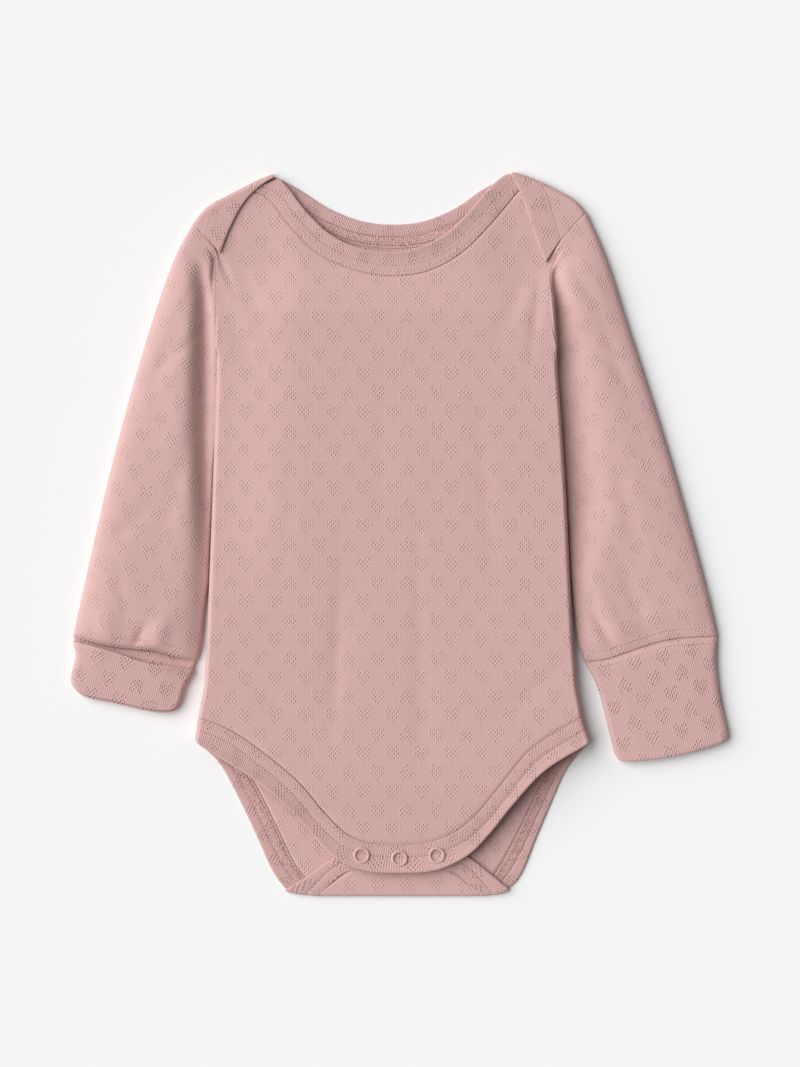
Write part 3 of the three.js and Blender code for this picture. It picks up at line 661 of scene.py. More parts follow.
def plain(name, colour, shade, roughness, grain):
    """One plain colour with a little grain, for thread and enamel."""
    drawing = Drawing(name, roughness)
    cloth, _, _ = drawing.places()
    speckle = drawing.blotches(cloth, 1.5)
    return drawing.finish(drawing.plus(shade, speckle, grain), speckle, grain, colour)


jersey_knit = openwork("jersey_knit", WALE, 0.012, 0.014, 0.13, 0.26)
cuff_knit = openwork("cuff_knit", WALE, 0.08, 0.055, 0.26, 0.42)
binding_rib = openwork("binding_rib", RIB, 0.15, 0.08, 0.24, 0.36)
# sewing thread in a lighter pink, a painted highlight
sewing_thread = plain("sewing_thread", LIT_THREAD_PINK, 0.0, 0.8, 0.15)
# the chain's pink is the cloth's, painted darker as shade, with an uneven grain
looped_thread = plain("looped_thread", PINK, 0.2, 0.85, 0.4)
# dark beads of painted shadow in the needle's holes
needle_hole_shadow = plain("needle_hole_shadow", PINK_SHADE, 0.0, 0.95, 0.0)
snap_enamel = plain("snap_enamel", PINK, 0.05, 0.38, 0.03)
print("materials:", len(bpy.data.materials))

# %% [markdown]
# ## Front and back
#
# The front panel is one piece from neck to crotch. Its net runs between the two seams of its
# bindings and its two sides, and every sewn edge gets an allowance under its neighbour. The back
# panel lies beneath. Its shoulder flaps fold over on to the front, which is what lets the neck
# stretch over a baby's head, and its tab folds up at the crotch to take the snaps. Flat planes
# could be sculpted into panels, but nets meet their seams exactly.

# %% The two sides of a panel
FINE = 7


def side_run(side, inset, start, end, steps):
    y = np.linspace(start, end, steps + 1)
    return np.column_stack([side_x(y, side) + INWARD[side] * inset, y])


def armhole_run(side, start, end, steps):
    return by_length(ARMHOLE[side], np.linspace(start, end, steps + 1))


def line_between(a, b, steps):
    return np.asarray(a) + (np.asarray(b) - np.asarray(a)) * np.linspace(0, 1, steps + 1)[:, None]


def end_to_end(*lines):
    return np.vstack([lines[0], *[line[1:] for line in lines[1:]]])


def x_shares(line):
    return (line[:, 0] - line[0, 0]) / (line[-1, 0] - line[0, 0])


def panel_layer(plan, height):
    return layer(with_height(plan, height), JERSEY / 2, plan)


print("points up the left armhole:", len(armhole_run("left", 1, 0, 8 * FINE)))

# %% The strip beside each armhole
BANKS = {
    # where the sleeve's cloth rises to the body's height, between its valley and the body
    # y, level strip beside the body, width of its fall, share of the body's height
    "right": [(154, 3.2, 1.6, 0), (148, 3.2, 1.6, 1), (128, 3, 4, 1), (112, 1.5, 5, 0.85), (99, 0.8, 5, 0.7),
              (76, 0, 5, 0.4), (48, 0, 4.5, 0.25), (34, 0, 3.5, 0.15), (20, 0, 3, 0), (0, 0, 2, 0)],
    "left": [(154, 3, 2, 0), (148, 3, 2, 1), (136, 2.8, 1.8, 1), (124, 2.3, 1.6, 1), (112, 1.7, 1.5, 1),
             (104, 0.9, 1.2, 0.9), (99, 0, 1, 0)]}


def at_height(table, y):
    """The columns of a table at some heights up the garment."""
    table = np.array(table)[::-1]
    return [np.interp(y, table[:, 0], column) for column in table.T[1:]]


print("the strip's level width at the chest:", at_height(BANKS["right"], 128)[0])

# %% Front panel
CREASES = TROUGHS + [
    # the crease at the wearer's right underarm, the pull from each armhole, and soft belly folds
    (-94, 141, -64, 24, 4.5, 0.9), (-86, 106, -60, 40, 12, 0.5), (73, 118, -96, 50, 7, 0.7),
    (-34, -58, 88, 120, 9, 0.35), (10, -40, 91, 120, 9, 0.3), (-10, 40, 90, 120, 14, 0.25),
    (46, 20, 96, 110, 12, 0.3), (-60, 10, 86, 120, 12, 0.3)]
SEAM_DIP, SEAM_DIP_WIDTH = 0.8, 0.9
PANEL_LENGTH, PANEL_WIDTH = 290, 190
LAP_COVERS = 0.12
ARM_ALLOWANCE = 1.3


def front_panel_net():
    def edge(side, corner):
        arm = armhole_run(side, 1, LAP_COVERS, 8 * FINE)
        return end_to_end(side_run(side, JERSEY / 2, LEG_TOP, UNDERARM - 4, 9 * FINE), arm,
                          line_between(arm[-1], corner, 2 * FINE))

    shares = off_roll(110, PANEL_WIDTH, True)
    top = by_row(FRONT_NECK[:, 2:], shares)
    bottom = by_row(kept_inside(FRONT_LEG, JERSEY)[:, 2:], shares)
    right, left = edge("right", top[0]), edge("left", top[-1])
    up = close_at_ends(PANEL_LENGTH, 2.1)
    plan = net(bottom, top, at_shares(right, up), at_shares(left, up), x_shares(bottom), up)
    x, y = plan[..., 0], plan[..., 1]
    from_seam = PANEL_LENGTH * np.minimum(up, 1 - up)[:, None]
    dip = SEAM_DIP * np.exp(-(from_seam / SEAM_DIP_WIDTH)**2)
    height = rolled(x, y, front_height(x, y) - trough_depth(x, y, CREASES), JERSEY) - dip
    cloth = tucked(tucked(panel_layer(plan, height), "first", 0.3), "last", 0.25)

    def arm_reach(side):
        y = cloth[:, 0 if side == "right" else -1, 1]
        level, fall, share = at_height(BANKS[side], y)
        covered = np.minimum(ARM_ALLOWANCE, share * (level + 0.3 * fall))
        return 0.05 + covered * smooth_step(y, UNDERARM - 2, UNDERARM + 3)

    return tucked(tucked(cloth, "left", 0.8, arm_reach("right")), "right", 0.8, arm_reach("left"))


front_panel = piece("front_panel_jersey", [shell(front_panel_net())], jersey_knit, ["front_panel"])

# %% Folds over the shoulders
def shoulder_fold(side, thickness, start, end, steps):
    """Where cloth leaves the lower layer for the fold over a shoulder, and which way is out."""
    even = np.linspace(0, 1, 401)
    dense = by_length(SHOULDER[side], even)
    at = np.linspace(start, end, steps + 1)
    spot = read_off(dense, even, at)
    way = one_long(read_off(np.gradient(dense, axis=0), even, at)) * INWARD[side]
    outward = np.column_stack([-way[:, 1], way[:, 0]])
    radius = (FRONT - thickness / 2) / 2
    return spot - outward * (radius + thickness / 2), outward


def band_fold(side):
    return shoulder_fold(side, BINDING, 1, BAND_FROM[side], 24)


def fold_row(side):
    at, _ = band_fold(side)
    return np.concatenate([at[0], at[-1]])


def lap_rows(side):
    return np.vstack([LAP[side], fold_row(side)])


print("the right lap's last row, at the fold:", fold_row("right").round(1))

# %% Sides and flaps of the back
PANEL_UNDER_BAND = 0.03


def back_side(side):
    at, outward = shoulder_fold(side, JERSEY, 0, BAND_FROM[side] + PANEL_UNDER_BAND, 4 * FINE)
    arm = armhole_run(side, 1, FOLD_START, 8 * FINE)
    way = one_long(arm[-1] - arm[-2])
    blend = np.linspace(1, 0, FINE + 1)[:-1, None]
    at[:FINE] = at[:FINE] * (1 - blend) + (arm[-1] + (at[FINE] - arm[-1]) * (1 - blend)) * blend
    outward[:FINE] = outward[:FINE] * (1 - blend) + way * blend
    run = end_to_end(side_run(side, JERSEY / 2, LEG_TOP, UNDERARM - 4, 9 * FINE), arm, at)
    return run, at, outward


def flap_net(side, at, outward):
    """A shoulder flap's panel, from the back's edge over the fold to the seam of its binding."""
    seam = by_row(lap_rows(side)[:, 2:], 0.94 * np.linspace(0, 1, len(at)))
    flat = at[None] + (seam - at)[None] * np.linspace(0, 1, 15)[1:, None, None]
    points = np.concatenate([folded_over(at, outward, BACK, FRONT), with_height(flat, FRONT)])
    cloth = tucked(layer(points, JERSEY / 2, points[..., :2]), "last", 0.7)
    return tucked(cloth, "left", 0.6, 2.0)


print("rows up a side of the back:", len(back_side("right")[0]))

# %% Back panel with its flaps and tab
LEG_CORNERS = [(-61.8, -192.3, 0.2, 0.2, 7), (59.6, -192.4, -1.3, 1.2, 7),
               (-110.9, -112.4, 0.9, 0.9, 4), (102.8, -112.4, -0.9, 0.9, 4)]


def tab_net(fold):
    """The back's tab, from the fold at the bottom up to its own seam under the front."""
    end = np.column_stack([np.linspace(CROTCH_TAB[3, 2], CROTCH_TAB[5, 2], len(fold)),
                           np.full(len(fold), CROTCH_TAB[3, 3])])
    flat = fold[None] + (end - fold)[None] * np.linspace(0, 1, 10)[1:, None, None]
    points = np.concatenate([folded_over(fold, (0, -1), BACK, TAB), with_height(flat, TAB)])
    tab = tucked(layer(points, JERSEY / 2, points[..., :2]), "last", 0.5)
    return tucked(tucked(tab, "left", 0.5, 3.0), "right", 0.5, 3.0)


def back_panel_nets():
    sides = {side: back_side(side) for side in ("right", "left")}
    legs = {side: by_row(kept_inside(BACK_LEG[side], JERSEY)[:, 2:], off_roll(36, 80)) for side in sides}
    fold = line_between(legs["right"][-1], legs["left"][-1], 40)
    bottom = end_to_end(legs["right"], fold, legs["left"][::-1])
    neck = np.vstack([sides["right"][0][-1], BACK_NECK[:, 2:], sides["left"][0][-1]])
    shares = x_shares(bottom)
    plan = net(bottom, by_row(neck, shares), sides["right"][0], sides["left"][0], shares,
               np.linspace(0, 1, len(sides["right"][0])))
    height = rolled(plan[..., 0], plan[..., 1], BACK, JERSEY)
    base = tucked(panel_layer(plan, height), "last", 0.1)
    flaps = [flap_net(side, at, outward) for side, (_, at, outward) in sides.items()]
    return [base, tab_net(fold), *flaps]


back_panel = piece("back_panel_jersey", [shell(part) for part in back_panel_nets()], jersey_knit,
                   ["back_panel"])

# %% [markdown]
# ## Bindings
#
# Each raw edge is bound with a strip of rib, held by two rows of coverstitch. One row runs close
# to the seam and one near the middle, and each presses a small groove into the strip. The free
# edge is a fold, so it is round. A curve with a bevel could make a strip, but its width changes,
# so each is a net between its two edges. The strip's ribs run straight across it.

# %% The strip and its profile
BAND_FREE_MARKS = np.array([0, 0.1, 0.3, 0.65, 1.2])
BAND_SEAM_MARKS = np.array([7.3, 6.8, 6.4, 6.0, 5.5, 4.0, 2.5, 1.9, 1.5, 1.1, 0.75, 0.4, 0.15, 0])
FULL_WIDTH = 11.5
FREE_ROUND, SEAM_ROUND = 1.2, 0.75
SEAM_ROW, MIDDLE_ROW, GROOVE_WIDTH = 1.5, 6.4, 0.5
SEAM_GROOVE = 0.08
CURL_WIDTH = 7


def band_profile(from_free, from_seam, groove):
    """Half the strip's thickness at a distance from each of its edges."""
    free = np.sqrt(1 - (1 - np.clip(from_free / FREE_ROUND, 0.02, 1))**2)
    seam = 0.7 + 0.3 * np.sqrt(1 - (1 - np.clip(from_seam / SEAM_ROUND, 0, 1))**2)
    rows = ((SEAM_ROW, SEAM_GROOVE), (MIDDLE_ROW, groove))
    grooves = sum(deep * np.exp(-((from_seam - row) / GROOVE_WIDTH)**2) for row, deep in rows)
    return BINDING / 2 * np.minimum(free, seam) - grooves * free


def band_net(rows, shares, height, corners=(), curl=0.0, knit_heading=None, groove=0.3):
    """A strip between its free edge and its seam. Its free edge may curl up, and its knitting
    follows the seam unless it has a heading of its own."""
    free, seam = by_row(rows[:, :2], shares), by_row(rows[:, 2:], shares)
    width = np.linalg.norm(seam - free, axis=1)[:, None]
    scale = np.minimum(1, width / FULL_WIDTH)
    start, end = BAND_FREE_MARKS[-1] * scale, width - BAND_SEAM_MARKS[0] * scale
    middle = start + (end - start) * np.linspace(0, 1, 5)[None, 1:-1]
    from_free = np.hstack([BAND_FREE_MARKS * scale, middle, width - BAND_SEAM_MARKS * scale])
    plan = softened(free[:, None] + (seam - free)[:, None] * (from_free / width)[..., None], corners)
    knit = np.dstack([lengths(seam)[:, None] * np.ones_like(from_free), from_free])
    if knit_heading is not None:
        knit = np.dstack(on_turned_axes(plan[..., 0], plan[..., 1], knit_heading))
    half = band_profile(from_free / scale, (width - from_free) / scale, groove)
    level = height(plan[..., 0], plan[..., 1]) if callable(height) else height
    level = level + curl * np.clip(1 - from_free / CURL_WIDTH, 0, 1)**2
    return layer(with_height(plan, level), half, knit)


def band_turn(edge_row, outward, lower, upper):
    """A strip's row carried round a fold."""
    points = folded_over(edge_row[:, :2], outward, lower, upper)
    rest = np.broadcast_to(edge_row[:, 3:], (len(points), *edge_row[:, 3:].shape)).copy()
    rest[..., 1] += np.linspace(0, math.pi * (upper - lower) / 2, len(points))[:, None]
    return np.dstack([points, rest])


def joined_bands(*parts):
    """Strips end to end, with their knitting carried on from one to the next."""
    parts = [part.copy() for part in parts]
    for before, after in zip(parts, parts[1:]):
        after[..., 4] += before[-1, -1, 4] - after[0, -1, 4]
    return np.concatenate([parts[0], *[part[1:] for part in parts[1:]]])


print("points across a binding:", len(BAND_FREE_MARKS) + 3 + len(BAND_SEAM_MARKS))

# %% Front neck and front legs
def leg_height(x, y):
    return rolled(x, y, front_height(x, y), BINDING)


NECK_CURL, LEG_CURL = 0.9, 1.3
neck_front = band_net(FRONT_NECK, np.linspace(0, 1, 220), front_height, groove=0.12)
beside_middle = smooth_step(np.abs(neck_front[..., 0] - NECK_MIDDLE), 34, 58)
by_free_edge = np.clip(1 - neck_front[..., 5] / CURL_WIDTH, 0, 1)
neck_front[..., 2] += NECK_CURL * (1 - beside_middle) * by_free_edge**2
leg_rows = kept_inside(FRONT_LEG, BINDING)
leg_front = band_net(leg_rows, off_roll(280, 300, True), leg_height, LEG_CORNERS, LEG_CURL)
front_neck_band = piece("front_neck_binding", [shell(neck_front)], binding_rib,
                        ["front_neck_band"])
front_leg_band = piece("front_leg_binding", [shell(leg_front)], binding_rib, ["front_leg_band"])

# %% Back neck, over the shoulders and down the flaps
def fold_outward(side, net_row):
    """Which way is out at each point across the strip where it goes over the shoulder."""
    at, outward = band_fold(side)
    reach = lengths(at) / lengths(at)[-1]
    across = np.linalg.norm(net_row[:, :2] - net_row[0, :2], axis=1)
    return read_off(outward, reach, across / across[-1])


LAP_HEADING = {"right": 52, "left": 109}
SHOULDER_TIPS = [(-68.6, 194.8, 0.4, -1.1, 6), (60.5, 195.9, -0.2, -1.1, 6)]


def lap_and_fold(side):
    lap = band_net(lap_rows(side), np.linspace(0, 1, 70), FRONT, knit_heading=LAP_HEADING[side], groove=0.04)
    turn = band_turn(lap[-1], fold_outward(side, lap[-1]), BACK_BAND, FRONT)[::-1]
    return lap, turn


right_lap, right_turn = lap_and_fold("right")
left_lap, left_turn = lap_and_fold("left")
neck_rows = np.vstack([fold_row("right"), BACK_NECK, fold_row("left")])
neck_back = band_net(neck_rows, np.linspace(0, 1, 240), BACK_BAND)
whole_neck = joined_bands(right_lap, right_turn, neck_back, left_turn[::-1], left_lap[::-1])
whole_neck[..., :2] = softened(whole_neck[..., :2], SHOULDER_TIPS)
back_neck_band = piece("back_neck_binding", [shell(whole_neck)], binding_rib, ["back_neck_band"])

# %% Back legs, round the bottom fold and over the tab
def back_leg(side):
    return band_net(kept_inside(BACK_LEG[side], BINDING), off_roll(90, 80),
                    lambda x, y: rolled(x, y, BACK_BAND, BINDING), LEG_CORNERS)


def corner_outward(side, row):
    """Which way is out along the bottom fold, shorter and slanted at the rounded corner."""
    inside = smooth_step(np.linalg.norm(row[:, :2] - row[0, :2], axis=1), 0, 6)
    return np.column_stack([-0.3 * INWARD[side] * (1 - inside), -0.4 - 0.6 * inside])


leg_right, leg_left = back_leg("right"), back_leg("left")
tab_band = band_net(CROTCH_TAB, np.linspace(0, 1, 170), TAB, LEG_CORNERS)
turn_right = band_turn(leg_right[-1], corner_outward("right", leg_right[-1]), BACK_BAND, TAB)
turn_left = band_turn(leg_left[-1], corner_outward("left", leg_left[-1]), BACK_BAND, TAB)
back_leg_band = piece(
    "back_leg_binding",
    [shell(joined_bands(leg_right, turn_right, tab_band, turn_left[::-1], leg_left[::-1]))],
    binding_rib, ["back_leg_band"])

# %% [markdown]
# ## Sleeves and cuffs
#
# A sleeve is a tube pressed flat, so each level of it is a flat ring with two rolled ends. Next
# to the body the upper layer dips towards the table, which makes the dark line down each side.
# A simulation could press a tube flat, but its creases would not lie where the real ones do, so
# small tables say where the dip runs and how deep it is. The wearer's right cuff is turned back
# over its seam as a mitten, and the left one is straight.

# %% Flat rings
def flat_ring(line, inset, lower, upper, across=56, ends=(3.2, ROLL)):
    """A closed row round a flattened tube: over the top along a line in plan, and back beneath.
    'upper' gives the top layer's height from x, y and the distances to both ends, and 'ends'
    how far each end takes to roll over."""
    run = lengths(line)
    turn = np.radians(np.arange(0, 90, 12.5))
    outer, inner = [inset + end * (1 - np.cos(turn)) for end in ends]
    flat = np.linspace(inset + ends[0], run[-1] - inset - ends[1], across)
    at = np.concatenate([outer, flat, run[-1] - inner[::-1]])
    lift = np.concatenate([np.sin(turn)**0.8, np.ones(across), np.sin(turn[::-1])])
    plan = read_off(line, run, at)
    top = upper(plan[:, 0], plan[:, 1], at, run[-1] - at)
    centre = (top + lower) / 2
    over, under = centre + lift * (top - centre), centre - lift * (centre - lower)
    return np.vstack([np.column_stack([plan, over]), np.column_stack([plan, under])[-2:0:-1]])


def level_top(height):
    return lambda x, y, from_outer, from_inner: np.full_like(x, height)


SLEEVE_LEAN = {"right": -11.5, "left": 13.5}


def sleeve_axis_places(points, side):
    """Places in a sleeve's knitting, whose wales follow the sleeve."""
    return np.dstack(on_turned_axes(points[..., 0], points[..., 1], SLEEVE_LEAN[side]))


print("points round a tube:", len(flat_ring(np.array([(0.0, 0.0), (60.0, 0.0)]), 0.5, 0.5, level_top(4))))

# %% Creases and heights of the sleeves
SLEEVE_CREASES = TROUGHS + [
    (-112, 130, 58, 40, 8, 0.5), (-116, 100, 40, 36, 7, 0.5), (100, 132, 122, 40, 8, 0.5),
    (106, 98, 140, 36, 7, 0.5), (-140, 40, 72, 90, 18, 0.3), (132, 46, 108, 90, 16, 0.35),
    (-150, -30, 100, 44, 8, 0.35),
    # the fold above the turned cuff and the swelling beside it, and the folds above the straight one
    (-141, -57, 62, 16, 6, 1.3), (-130, -55, 70, 30, 13, -1.5), (-158, -52, 90, 26, 14, -0.9),
    (108, -50, 122, 34, 7, 1.2), (114, -44, 118, 40, 9, -0.6), (126, -34, 110, 60, 12, 0.7)]
SLEEVE_UNDER = {"right": 1.8, "left": BACK}
SLEEVE_OVER = {"right": 3.6, "left": FRONT}
END_DIP = {"right": 2.0, "left": 0.3}
END_PUFF = {"right": 0.65, "left": 0.5}
PUFF = {"right": 4.4, "left": 2.6}
SLEEVE_LENGTH = 225
SLEEVE_SEAM_DIP, SLEEVE_SEAM_WIDTH, END_DIP_WIDTH = 0.75, 0.8, 1.4
ACROSS = np.linspace(0, 1, 41)
print("creases on the sleeves:", len(SLEEVE_CREASES))

# %% The valley beside the body
VALLEY_BOTTOM = 1.65
VALLEYS = {
    # y, distance from the body, depth as a share, reach towards the body and away from it
    "right": [(152, 12, 0, 4, 4), (134, 8.4, 0.7, 5, 4.5), (115, 7, 0.95, 8, 5.2), (99, 6.4, 1, 14, 5.6),
              (76, 5.4, 1, 20, 6), (48, 4.4, 1, 20, 6.2), (34, 3.2, 1, 20, 6.2), (21, 2.2, 0.95, 20, 6.2),
              (8, 1.4, 0.8, 20, 6), (-6, 1, 0.5, 20, 6), (-22, 1, 0.35, 20, 6), (-62, 0, 0.25, 20, 6)],
    "left": [(152, 5, 0, 3, 4), (140, 4.8, 0.8, 3, 4), (128, 4.2, 1, 4, 6), (110, 3.4, 1, 8, 9),
             (94, 3, 1, 20, 11), (76, 3, 1, 20, 12), (40, 4, 1, 20, 13), (18, 4, 1, 20, 14),
             (6, 3, 0.85, 20, 13), (-8, 2, 0.65, 20, 11), (-22, 1, 0.4, 20, 8), (-62, 0, 0.3, 20, 6)]}
UNDER_BODY = 2.3
UNDER_BODY_ENDS = {"right": (30, 70), "left": (74, 92)}
# the wearer's right sleeve stands up in a long swell beside its valley
SWELL = {"right": 1.2, "left": 0.0}


def from_body(x, y, side):
    """How far a point of the sleeve is from the armhole seam and the body's side below it."""
    edge = np.vstack([armhole_run(side, 0, 1, 60), side_run(side, 0, UNDERARM, -95, 150)])
    away = np.sqrt(((x[:, None] - edge[:, 0])**2 + (y[:, None] - edge[:, 1])**2).min(axis=1))
    beneath = (y < UNDERARM) & ((x - side_x(y, side)) * INWARD[side] > 0)
    return np.where(beneath, 0, away)


def valley(y, away, side):
    """How deep into the valley beside the body a point lies, from 0 to 1."""
    centre, depth, near, far = at_height(VALLEYS[side], y)
    return depth * np.exp(-((away - centre) / np.where(away < centre, near, far))**2)


def bank(y, away, side):
    """How far the cloth next to the body rises to the body's height, from 0 to 1."""
    level, fall, share = at_height(BANKS[side], y)
    return share * smooth_step(away, level + fall, level)


def swell(y, away, side):
    """The height of the long swell beside the valley."""
    centre, _, _, far = at_height(VALLEYS[side], y)
    there = smooth_step(y, 150, 120) * smooth_step(y, -30, 30)
    return SWELL[side] * there * np.exp(-((away - centre - 1.8 * far) / 13)**2)


print("share of the valley's depth 3 mm off the body:", valley(76, 3, "left").round(2))

# %% The sleeves' nets
def inner_line(side):
    """The sleeve's inner edge, which slips under the body's side below the armhole."""
    y = np.linspace(UNDERARM, TUCKED_TO, 41)
    slip = UNDER_BODY * smooth_step(y, UNDERARM, UNDERARM - 5) * smooth_step(y, *UNDER_BODY_ENDS[side])
    beside_body = np.column_stack([side_x(y, side) + INWARD[side] * (slip - TUCK), y])
    return np.vstack([beside_body, SLEEVE_INNER_END[side]])


def sleeve_levels():
    """Shares of a sleeve's length, closest beside its two seams and close on the ridge."""
    start = [0, 0.2, 0.5, 0.9, 1.4, *np.linspace(2, 15.2, 23)]
    end = SLEEVE_LENGTH - np.array([2.2, 1.4, 0.9, 0.5, 0.2, 0])
    return np.concatenate([start, np.linspace(16.8, end[0], 128)[:-1], end]) / SLEEVE_LENGTH


def sleeve_net(side):
    seam = armhole_run(side, 0, 1, 40) + np.array([-0.1 * INWARD[side], 0])
    levels = sleeve_levels()
    end = by_length(SLEEVE_END[side], ACROSS)
    outer, inner = by_length(SLEEVE_OUTER[side], levels), by_length(inner_line(side), levels)
    outer[0], inner[0] = seam[0], seam[-1]
    plan = net(seam, end, outer, inner, ACROSS, levels)
    rings = []
    for line, level in zip(plan, levels):
        near = smooth_step(level, 0.9, 1)
        under = BACK + (SLEEVE_UNDER[side] - BACK) * near
        over = FRONT + (SLEEVE_OVER[side] - FRONT) * near
        from_seam, from_end = level * SLEEVE_LENGTH, (1 - level) * SLEEVE_LENGTH
        seam_dip = SLEEVE_SEAM_DIP * math.exp(-(from_seam / SLEEVE_SEAM_WIDTH)**2)
        end_dip = END_DIP[side] * math.exp(-(from_end / END_DIP_WIDTH)**2)
        end_puff = END_PUFF[side] + (1 - END_PUFF[side]) * smooth_step(level, 1, 0.93)
        full_puff = PUFF[side] * smooth_step(level, 0, 0.14) * end_puff
        creased = smooth_step(level, 0, 0.1) * smooth_step(level, 1, 0.98)

        def upper(x, y, from_outer, from_inner):
            arch = np.sin(np.pi * from_outer / (from_outer + from_inner))
            away = from_body(x, y, side)
            puff = full_puff * (1 - (1 - arch)**3)
            crease = creased * trough_depth(x, y, SLEEVE_CREASES)
            top = over + puff + swell(y, away, side) - crease * np.minimum(1, 2 * arch)
            beside = bank(y, away, side)
            top = top + (front_height(x, y) - 0.3 * smooth_step(y, UNDERARM, 90) - top) * beside
            deep = valley(y, away, side) * (1 - beside)
            return top + (VALLEY_BOTTOM + 0.6 * near - top) * deep - seam_dip - end_dip

        rings.append(flat_ring(line, JERSEY / 2, under, upper))
    points = np.array(rings)
    return layer(points, JERSEY / 2, sleeve_axis_places(points, side))


sleeve_nets = {side: sleeve_net(side) for side in ("right", "left")}
right_sleeve, left_sleeve = [
    piece(f"{side}_sleeve_jersey", [shell(rings, tube=True)], jersey_knit, [f"{side}_sleeve"])
    for side, rings in sleeve_nets.items()]

# %% Straight cuff
STRAIGHT_CUFF_CORNERS = [(178.1, -111.5, -1.3, 1.3, 7), (116.6, -123.6, 1.6, 1.6, 8)]
CUFF_LENGTH = 58
CUFF_ROW = 3.8
HEM_ROUND = 1.6


def straight_cuff_net():
    levels = close_at_ends(CUFF_LENGTH, 1.5)
    outer, inner = by_length(STRAIGHT_CUFF["outer"], levels), by_length(STRAIGHT_CUFF["inner"], levels)
    end, hem = by_length(SLEEVE_END["left"], ACROSS), by_length(STRAIGHT_CUFF["hem"], ACROSS)
    outer[0], inner[0] = end[0], end[-1]
    plan = softened(net(end, hem, outer, inner, ACROSS, levels), STRAIGHT_CUFF_CORNERS)
    rings = []
    for line, level in zip(plan, levels):
        down = level * CUFF_LENGTH
        seam_dip = 1.2 * math.exp(-(down / 2.6)**2) + 0.22 * math.exp(-((down - CUFF_ROW) / 0.6)**2)

        def upper(x, y, from_outer, from_inner):
            arch = np.sin(np.pi * from_outer / (from_outer + from_inner))
            return FRONT + 0.2 + 0.8 * np.minimum(1, 1.6 * arch) - seam_dip

        rings.append(flat_ring(line, DOUBLED / 2, DOUBLED / 2, upper))
    points = np.array(rings)
    from_hem = np.clip((1 - levels) * CUFF_LENGTH / HEM_ROUND, 0.04, 1)
    half = DOUBLED / 2 * np.broadcast_to(np.sqrt(1 - (1 - from_hem)**2)[:, None], points.shape[:2])
    return layer(points, half, sleeve_axis_places(points, "left"))


cuff_net = straight_cuff_net()
left_cuff = piece("left_cuff_jersey", [shell(cuff_net, tube=True)], cuff_knit, ["left_cuff"])

# %% Turned-back cuff
CUFF_INSIDE = (1.8, 1.8, 3.6)
CUFF_OUTSIDE = (JERSEY / 2, BACK, 5.0)
TURNED_CUFF_CORNERS = [(-176.6, -87.4, 2.6, 2.2, 12), (-119.3, -97.4, -2.0, 2.2, 11)]
TRENCH = 0.8
CUFF_SWELLING, LIP_CURL = 1.0, 3.2


def turned_cuff_net():
    """Down inside from the seam, round the fold, and back up outside to the lip."""
    levels = np.linspace(0, 1, 27)
    outer, inner = by_length(TURNED_CUFF["outer"], levels), by_length(TURNED_CUFF["inner"], levels)
    lip, fold = by_length(TURNED_CUFF["lip"], ACROSS), by_length(TURNED_CUFF["fold"], ACROSS)
    body = softened(net(lip, fold, outer, inner, ACROSS, levels), TURNED_CUFF_CORNERS)
    radius = JERSEY / 2 + (CUFF_OUTSIDE[2] - CUFF_INSIDE[2]) / 2
    seam = by_length(SLEEVE_END["right"], ACROSS)
    inset, lower, top = CUFF_INSIDE
    rings = [flat_ring(seam, JERSEY / 2, lower, level_top(top - TRENCH))]
    rings += [flat_ring(line, inset, lower, level_top(top - TRENCH * max(0, 1 - down / 0.6)))
              for line, down in zip(body[2:-1], levels[2:-1])]
    for turn in np.linspace(0, math.pi, 13):
        share = (1 - math.cos(turn)) / 2
        inset, lower, top = np.array(CUFF_INSIDE) * (1 - share) + np.array(CUFF_OUTSIDE) * share
        shift = np.array([0, JERSEY / 2 + radius * (1 - math.sin(turn))])
        rings.append(flat_ring(body[-1] + shift, inset, lower, level_top(top)))
    inset, lower, top = CUFF_OUTSIDE
    for line, level in zip(body[:-1][::-1], levels[:-1][::-1]):
        def upper(x, y, from_outer, from_inner):
            arch = np.minimum(1, 1.6 * np.sin(np.pi * from_outer / (from_outer + from_inner)))
            return top + arch * (CUFF_SWELLING * math.sin(math.pi * level) + LIP_CURL * (1 - level)**6)

        rings.append(flat_ring(line, inset, lower, upper))
    points = np.array(rings)
    half = np.full(points.shape[:2], JERSEY / 2)
    half[-1] = 0.2
    return layer(points, half, sleeve_axis_places(points, "right"))


right_cuff = piece("right_cuff_jersey", [shell(turned_cuff_net(), tube=True)], cuff_knit,
                   ["right_cuff"])

# %% [markdown]
# ## Snaps
#
# Three ring snaps close the crotch. Only the prong rings show, pressed into the binding, with
# cloth in the middle of each. Blender's torus is as tall as it is wide, and a prong ring is
# flatter, so its section is written out here.

# %% Rings of the snaps
SNAP_OUTER, SNAP_INNER, SNAP_HEIGHT = 4.4, 3.0, 0.9


def snap_ring(x, y):
    turns = np.linspace(0, 2 * math.pi, 65)[:-1, None]
    section = np.linspace(0, 2 * math.pi, 17)[None, :-1]
    middle, reach = (SNAP_OUTER + SNAP_INNER) / 2, (SNAP_OUTER - SNAP_INNER) / 2
    away = middle + reach * np.cos(section)
    lift = front_height(x, y) + BINDING / 2 + SNAP_HEIGHT / 2 + SNAP_HEIGHT / 2 * np.sin(section)
    points = np.dstack([x + away * np.cos(turns), y + away * np.sin(turns), lift + 0 * turns])
    at = np.arange(points.shape[0] * points.shape[1]).reshape(points.shape[:2])
    across, round_it = np.roll(at, -1, axis=1), np.roll(at, -1, axis=0)
    faces = np.stack([at, round_it, np.roll(round_it, -1, axis=1), across], axis=-1).reshape(-1, 4)
    return points.reshape(-1, 3), faces, points[..., :2].reshape(-1, 2)


